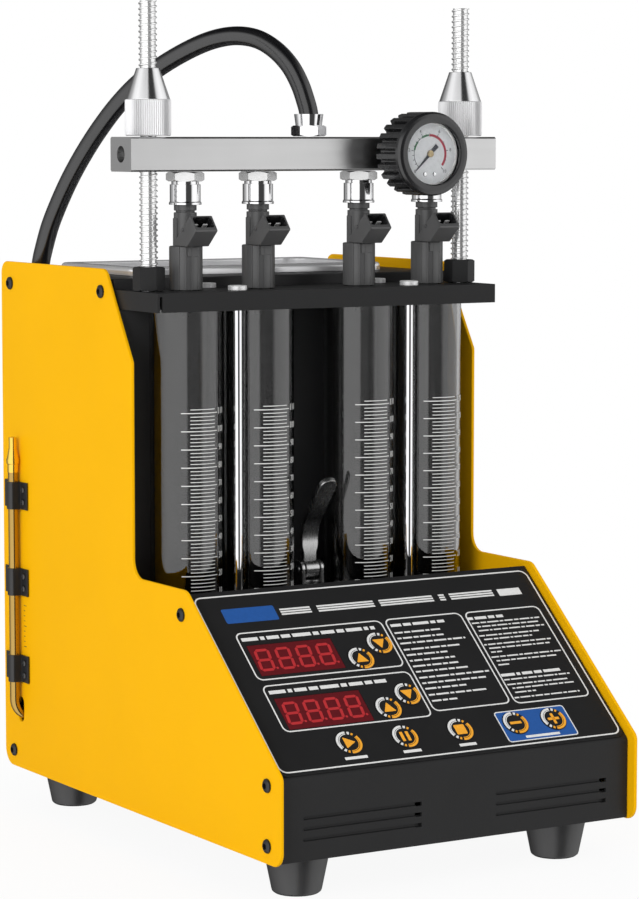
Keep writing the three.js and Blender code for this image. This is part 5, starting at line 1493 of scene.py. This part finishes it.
GAUGE = middle("gauge_case")
GAUGE_PLACE = Matrix.Translation((GAUGE.x, RAIL_FRONT, GAUGE.z)) @ Matrix.Rotation(math.pi / 2, 4, "X")
GAUGE_FRONT = 29.5
DIAL_FACE = GAUGE_FRONT - 3.6
SCALE_START, SCALE_SWEEP = 225.0, 270.0
DIAL_SCREWS = ((-3.2, -11.2), (3.2, -11.2))
BOOT_RADIUS, BOOT_RIB = 23.2, 2.8


class TESTER_OT_gauge(bpy.types.Operator):
    """Makes the pressure gauge: case, printed dial, needle, lens and ribbed rubber boot"""
    bl_idname = "tester.gauge"
    bl_label = "Pressure gauge"

    def execute(self, context):
        settings = context.scene.tester_gauge
        bm = bmesh.new()
        profile = [(0, 6.5), (19.4, 6.5), (20, 7.2), (20, GAUGE_FRONT), (18.8, GAUGE_FRONT),
                   (18.8, DIAL_FACE - 1.2), (4, DIAL_FACE - 1.2), (4, 11.5), (0, 11.5)]
        turned(bm, profile, GAUGE_PLACE, 96, 0.15)
        nut(bm, 14, GAP, 7, GAUGE_PLACE)
        piece("gauge_case_steel", bm, finishes["black_plastic"], "rail", "gauge_case")
        self.dial()
        self.needle(settings)
        lens = bmesh.new()
        turned(lens, [(0, GAUGE_FRONT - 1.6), (18.4, GAUGE_FRONT - 1.6), (18.4, GAUGE_FRONT - 0.8),
                      (0, GAUGE_FRONT - 0.6)], GAUGE_PLACE, 96)
        piece("gauge_lens_clear", lens, finishes["lens"], "rail", "gauge_lens")
        self.boot(settings)
        return {"FINISHED"}

    def dial(self):
        bm = bmesh.new()
        turned(bm, [(0.8, DIAL_FACE - 0.8), (18.4, DIAL_FACE - 0.8), (18.4, DIAL_FACE), (0.8, DIAL_FACE)],
               GAUGE_PLACE, 96, 0.1, True)
        piece("gauge_dial_face", bm, finishes["enamel"], "rail", "gauge_dial")
        rim = bmesh.new()
        step = [(16.5, DIAL_FACE), (17.6, DIAL_FACE), (17.6, DIAL_FACE + 1), (16.8, DIAL_FACE + 1)]
        turned(rim, step, GAUGE_PLACE, 96, 0.1, True)
        piece("gauge_dial_rim", rim, finishes["white_ink"], "rail")
        low, top = DIAL_FACE, DIAL_FACE + 0.05
        black, green, red = bmesh.new(), bmesh.new(), bmesh.new()
        for start, end in ((168, 140), (120, 94)):
            arc(green, 9.8, 10.9, start, end, low, top, GAUGE_PLACE)
        arc(red, 9.6, 11.0, 92, -38, low, top, GAUGE_PLACE)
        arc(black, 10.2, 10.5, 225, 93, low, top + 0.01, GAUGE_PLACE)
        for step in range(21):
            angle = SCALE_START - SCALE_SWEEP * step / 20
            main = step % 4 == 0
            turn = GAUGE_PLACE @ Matrix.Rotation(math.radians(angle), 4, "Z")
            if main or step % 2 == 0 or angle > 92:
                box(black, (10.5, -0.16, low), (12.2 if main else 11.5, 0.16, top + 0.02), 0, turn)
        for number in range(6):
            angle = math.radians(SCALE_START - SCALE_SWEEP * number / 5)
            place = Matrix.Translation((13.7 * math.cos(angle), 13.7 * math.sin(angle), DIAL_FACE))
            words(black, str(2 * number), 2.6, GAUGE_PLACE @ place, 0.05)
        heads = bmesh.new()
        for x, y in DIAL_SCREWS:
            screw = GAUGE_PLACE @ Matrix.Translation((x, y, DIAL_FACE))
            rod(black, 1.25, 0, 0.12, screw, 24, 0.05)
            rod(heads, 1.0, 0, 0.3, GAUGE_PLACE @ Matrix.Translation((x, y, DIAL_FACE + 0.12)), 24, 0.1)
        piece("gauge_dial_marks", black, finishes["dial_ink"], "rail")
        piece("gauge_dial_green", green, finishes["dial_green"], "rail")
        piece("gauge_dial_red", red, finishes["dial_red"], "rail")
        piece("gauge_dial_screws", heads, finishes["chrome"], "rail")

    def needle(self, settings):
        low = DIAL_FACE + 0.3
        turn = GAUGE_PLACE @ Matrix.Rotation(math.radians(SCALE_START), 4, "Z")
        bm = bmesh.new()
        point = [(0, -0.8), (settings.needle, -0.15), (settings.needle, 0.15), (0, 0.8)]
        tail = [(-6.4, -1.25), (0, -0.7), (0, 0.7), (-6.4, 1.25)]
        for corners in (point, tail):
            plate(bm, corners, low, low + 0.45, 0, turn)
        rod(bm, 0.5, DIAL_FACE - 8, low + 0.4, GAUGE_PLACE, 16)
        piece("gauge_needle_blade", bm, finishes["dial_ink"], "gauge_needle_body",
              "gauge_needle")
        hub = bmesh.new()
        profile = [(0, low), (1.9, low), (1.9, low + 0.9), (1.2, low + 1.1), (0.5, low + 1.1),
                   (0.4, low + 1.0), (0, low + 1.0)]
        turned(hub, profile, GAUGE_PLACE, 48, 0.1)
        piece("gauge_needle_hub", hub, finishes["hub_brass"], "gauge_needle_body")

    def boot(self, settings):
        outer, root, front = BOOT_RADIUS, BOOT_RADIUS - BOOT_RIB, GAUGE_FRONT + 1.3
        bm = bmesh.new()
        step = 2 * math.pi / settings.ribs
        corners = []
        for i in range(settings.ribs):
            for share, radius in ((0.0, outer), (0.52, outer), (0.62, root), (0.9, root)):
                angle = (i + share) * step
                corners.append((radius * math.cos(angle), radius * math.sin(angle)))
        ribbed = bmesh.new()
        plate(ribbed, corners, 6.8, front - 3.4)
        soften(ribbed, 0.55, 2, 30)
        core = bmesh.new()
        rod(core, 20.15, 0, 40, None, 96)
        add(bm, cut(ribbed, core), GAUGE_PLACE)
        rim = [(20.2, front - 5.2), (22, front - 5.2), (outer, front - 4.2), (outer, front - 2.0),
               (22.2, front - 0.5), (20.4, front), (17.9, front - 0.1), (17.0, front - 0.6),
               (17.0, front - 1.2), (20.2, front - 1.2)]
        turned(bm, rim, GAUGE_PLACE, 96, 0.35, True)
        piece("gauge_boot_rubber", bm, finishes["boot"], "rail", "gauge_boot", 40)


# Ultrasonic bath

class TESTER_OT_bath(bpy.types.Operator):
    """Makes the stainless bath with its rolled rim"""
    bl_idname = "tester.bath"
    bl_label = "Ultrasonic bath"

    def execute(self, context):
        low, high = span("ultrasonic_tank")
        centre = middle("ultrasonic_tank")
        rim, sheet, depth, corner, rim_corner = 7.0, 1.0, 65.0, 12.0, 6.0
        half = Vector((high.x - low.x, high.y - low.y)) / 2
        place = Matrix.Translation((0, centre.y, 0))
        rim_low = high.z - 4.6

        def rounded(inset, radius):
            return rectangle((-half.x + inset, -half.y + inset), (half.x - inset, half.y - inset), radius)

        def edges_at(part, height):
            return [edge for edge in sharp_edges(part, 60)
                    if all(abs(vert.co.z - height) < 0.1 for vert in edge.verts)]

        shell = bmesh.new()
        plate(shell, rounded(0, rim_corner), rim_low, high.z, 0, None, 8)
        round_edges(shell, edges_at(shell, high.z), 2.4, 5)
        under = bmesh.new()
        plate(under, rounded(sheet, rim_corner - sheet), rim_low - 2, high.z - 1.6, 0, None, 8)
        shell = cut(shell, under)
        tub = bmesh.new()
        plate(tub, rounded(rim, corner), high.z - depth - sheet, high.z - 0.4, 0, None, 10)
        shell = boolean(shell, tub, "UNION")
        bath = bmesh.new()
        plate(bath, rounded(rim + sheet, corner - sheet), high.z - depth, high.z + 5, 0, None, 10)
        floor = high.z - depth
        round_edges(bath, edges_at(bath, floor), 4, 5)
        shell = cut(shell, bath)
        round_edges(shell, edges_at(shell, high.z), 1.2, 3)
        bm = bmesh.new()
        add(bm, shell, place)
        rod(bm, 22.5, floor - 30, floor - 15, place, 48, 0.6)
        rod(bm, 6, floor - 15.3, floor - 0.5, place, 32)
        piece("bath_stainless", bm, finishes["stainless"], instead_of="ultrasonic_tank")
        return {"FINISHED"}


# Level gauge on the left panel

SIGHT_Y, SIGHT_BOTTOM, SIGHT_TOP, SIGHT_BEND = 300.5, 31.5, 179.0, 11.0
SIGHT_HOLE = 3.6  # half of the hole's width in the panel
CLIP_DROPS = (17.4, 68, 119)


class TESTER_OT_level_gauge(bpy.types.Operator):
    """Makes the sight tube with its spout and strap clips"""
    bl_idname = "tester.level_gauge"
    bl_label = "Level gauge"

    def execute(self, context):
        x = PANEL_LOW.x - 0.8 - 3
        place = Matrix.Translation((x, SIGHT_Y, 0))
        points = [Vector((0, 0, SIGHT_TOP - step * 12)) for step in range(12)]
        for step in range(9):
            angle = step / 8 * math.pi / 2
            reach = SIGHT_BEND - 1
            height = SIGHT_BOTTOM + reach * (1 - math.sin(angle))
            points.append(Vector((reach * (1 - math.cos(angle)), 0, height)))
        points.append(Vector((SIGHT_BEND + 2, 0, SIGHT_BOTTOM)))
        bm = bmesh.new()
        add(bm, tube_along(points, 2.95, 20), place)
        piece("sight_tube_amber", bm, finishes["amber"], instead_of="level_gauge")
        spout = bmesh.new()
        profile = [(0, -4), (3.15, -4), (3.15, 0.8), (3.7, 1.2), (3.8, 3.4), (3.3, 5), (2.5, 9.6),
                   (2.3, 10.2), (2.3, 16.4), (1.3, 16.6), (1.3, 12), (0, 12)]
        turned(spout, [(radius, SIGHT_TOP + rise) for radius, rise in profile], place, 48, 0.12)
        piece("sight_tube_spout", spout, finishes["brass"])
        straps, rivets = bmesh.new(), bmesh.new()
        for drop in CLIP_DROPS:
            self.clip(straps, rivets, place @ Matrix.Translation((0, 0, SIGHT_TOP - drop)))
        piece("sight_tube_straps", straps, finishes["rubber"])
        piece("sight_tube_rivets", rivets, finishes["boot"])
        ticks = bmesh.new()
        for row in range(9):
            near, wide = SIGHT_Y - 5, 3.4 if row % 4 == 0 else 1.8
            height = SIGHT_TOP - 82 - row * 3
            box(ticks, (PANEL_LOW.x - 0.05, near - wide, height), (PANEL_LOW.x + 0.05, near, height + 0.35))
        piece("level_ticks", ticks, finishes["dial_ink"])
        return {"FINISHED"}

    def clip(self, straps, rivets, place):
        wall = 3 + 0.8 - GAP
        corners = [(wall, -12.4), (wall, 16.8), (wall - 1, 16.8), (wall - 1, 4.4), (0.6, 4.0),
                   (-3.0, 2.9, 2.2), (-3.78, 0), (-3.0, -2.9, 2.2), (0.6, -4.0), (wall - 1, -4.4),
                   (wall - 1, -12.4)]
        plate(straps, corners, -8, 8, 0.3, place, 4)
        rivet = [(0, -0.2), (2, -0.2), (1.9, 0.6), (1.2, 1.1), (0.7, 1.15), (0.6, 0.6), (0, 0.6)]
        for height in (-3.6, 3.6):
            spot = place @ Matrix.Translation((wall - 1, -8, height)) @ Matrix.Rotation(-math.pi / 2, 4, "Y")
            turned(rivets, rivet, spot, 24, 0.1)


# Panel in the sidebar, registration and the run

OPERATORS = (
    TESTER_OT_stage,
    TESTER_OT_supply_hose,
    TESTER_OT_side_panels,
    TESTER_OT_front_cover,
    TESTER_OT_cabinet,
    TESTER_OT_control_face,
    TESTER_OT_measuring_tubes,
    TESTER_OT_drain_lever,
    TESTER_OT_rail,
    TESTER_OT_injectors,
    TESTER_OT_gauge,
    TESTER_OT_bath,
    TESTER_OT_level_gauge,
)
SETTINGS = {
    "tester_stage": StageSettings,
    "tester_cabinet": CabinetSettings,
    "tester_controls": ControlSettings,
    "tester_tubes": TubeSettings,
    "tester_rail": RailSettings,
    "tester_gauge": GaugeSettings,
}


class TESTER_PT_sidebar(bpy.types.Panel):
    """Lists the machine's sizes, colours and build steps"""
    bl_label = "Fuel injector tester"
    bl_idname = "TESTER_PT_sidebar"
    bl_space_type = "VIEW_3D"
    bl_region_type = "UI"
    bl_category = "Tester"

    def draw(self, context):
        for name, group in SETTINGS.items():
            for setting in group.__annotations__:
                self.layout.prop(getattr(context.scene, name), setting)
        for operator in OPERATORS:
            self.layout.operator(operator.bl_idname)


def register():
    for name, group in SETTINGS.items():
        bpy.utils.register_class(group)
        setattr(bpy.types.Scene, name, PointerProperty(type=group))
    for entry in (*OPERATORS, TESTER_PT_sidebar):
        bpy.utils.register_class(entry)


def unregister():
    for entry in (TESTER_PT_sidebar, *reversed(OPERATORS)):
        bpy.utils.unregister_class(entry)
    for name, group in SETTINGS.items():
        delattr(bpy.types.Scene, name)
        bpy.utils.unregister_class(group)


def main():
    register()
    scene = bpy.context.scene
    make_finishes(scene.tester_cabinet, scene.tester_controls)
    for operator in OPERATORS:
        group, step = operator.bl_idname.split(".")
        if getattr(getattr(bpy.ops, group), step)() != {"FINISHED"}:
            raise RuntimeError(operator.bl_label + " did not finish")
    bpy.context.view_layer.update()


if __name__ == "__main__":
    main()
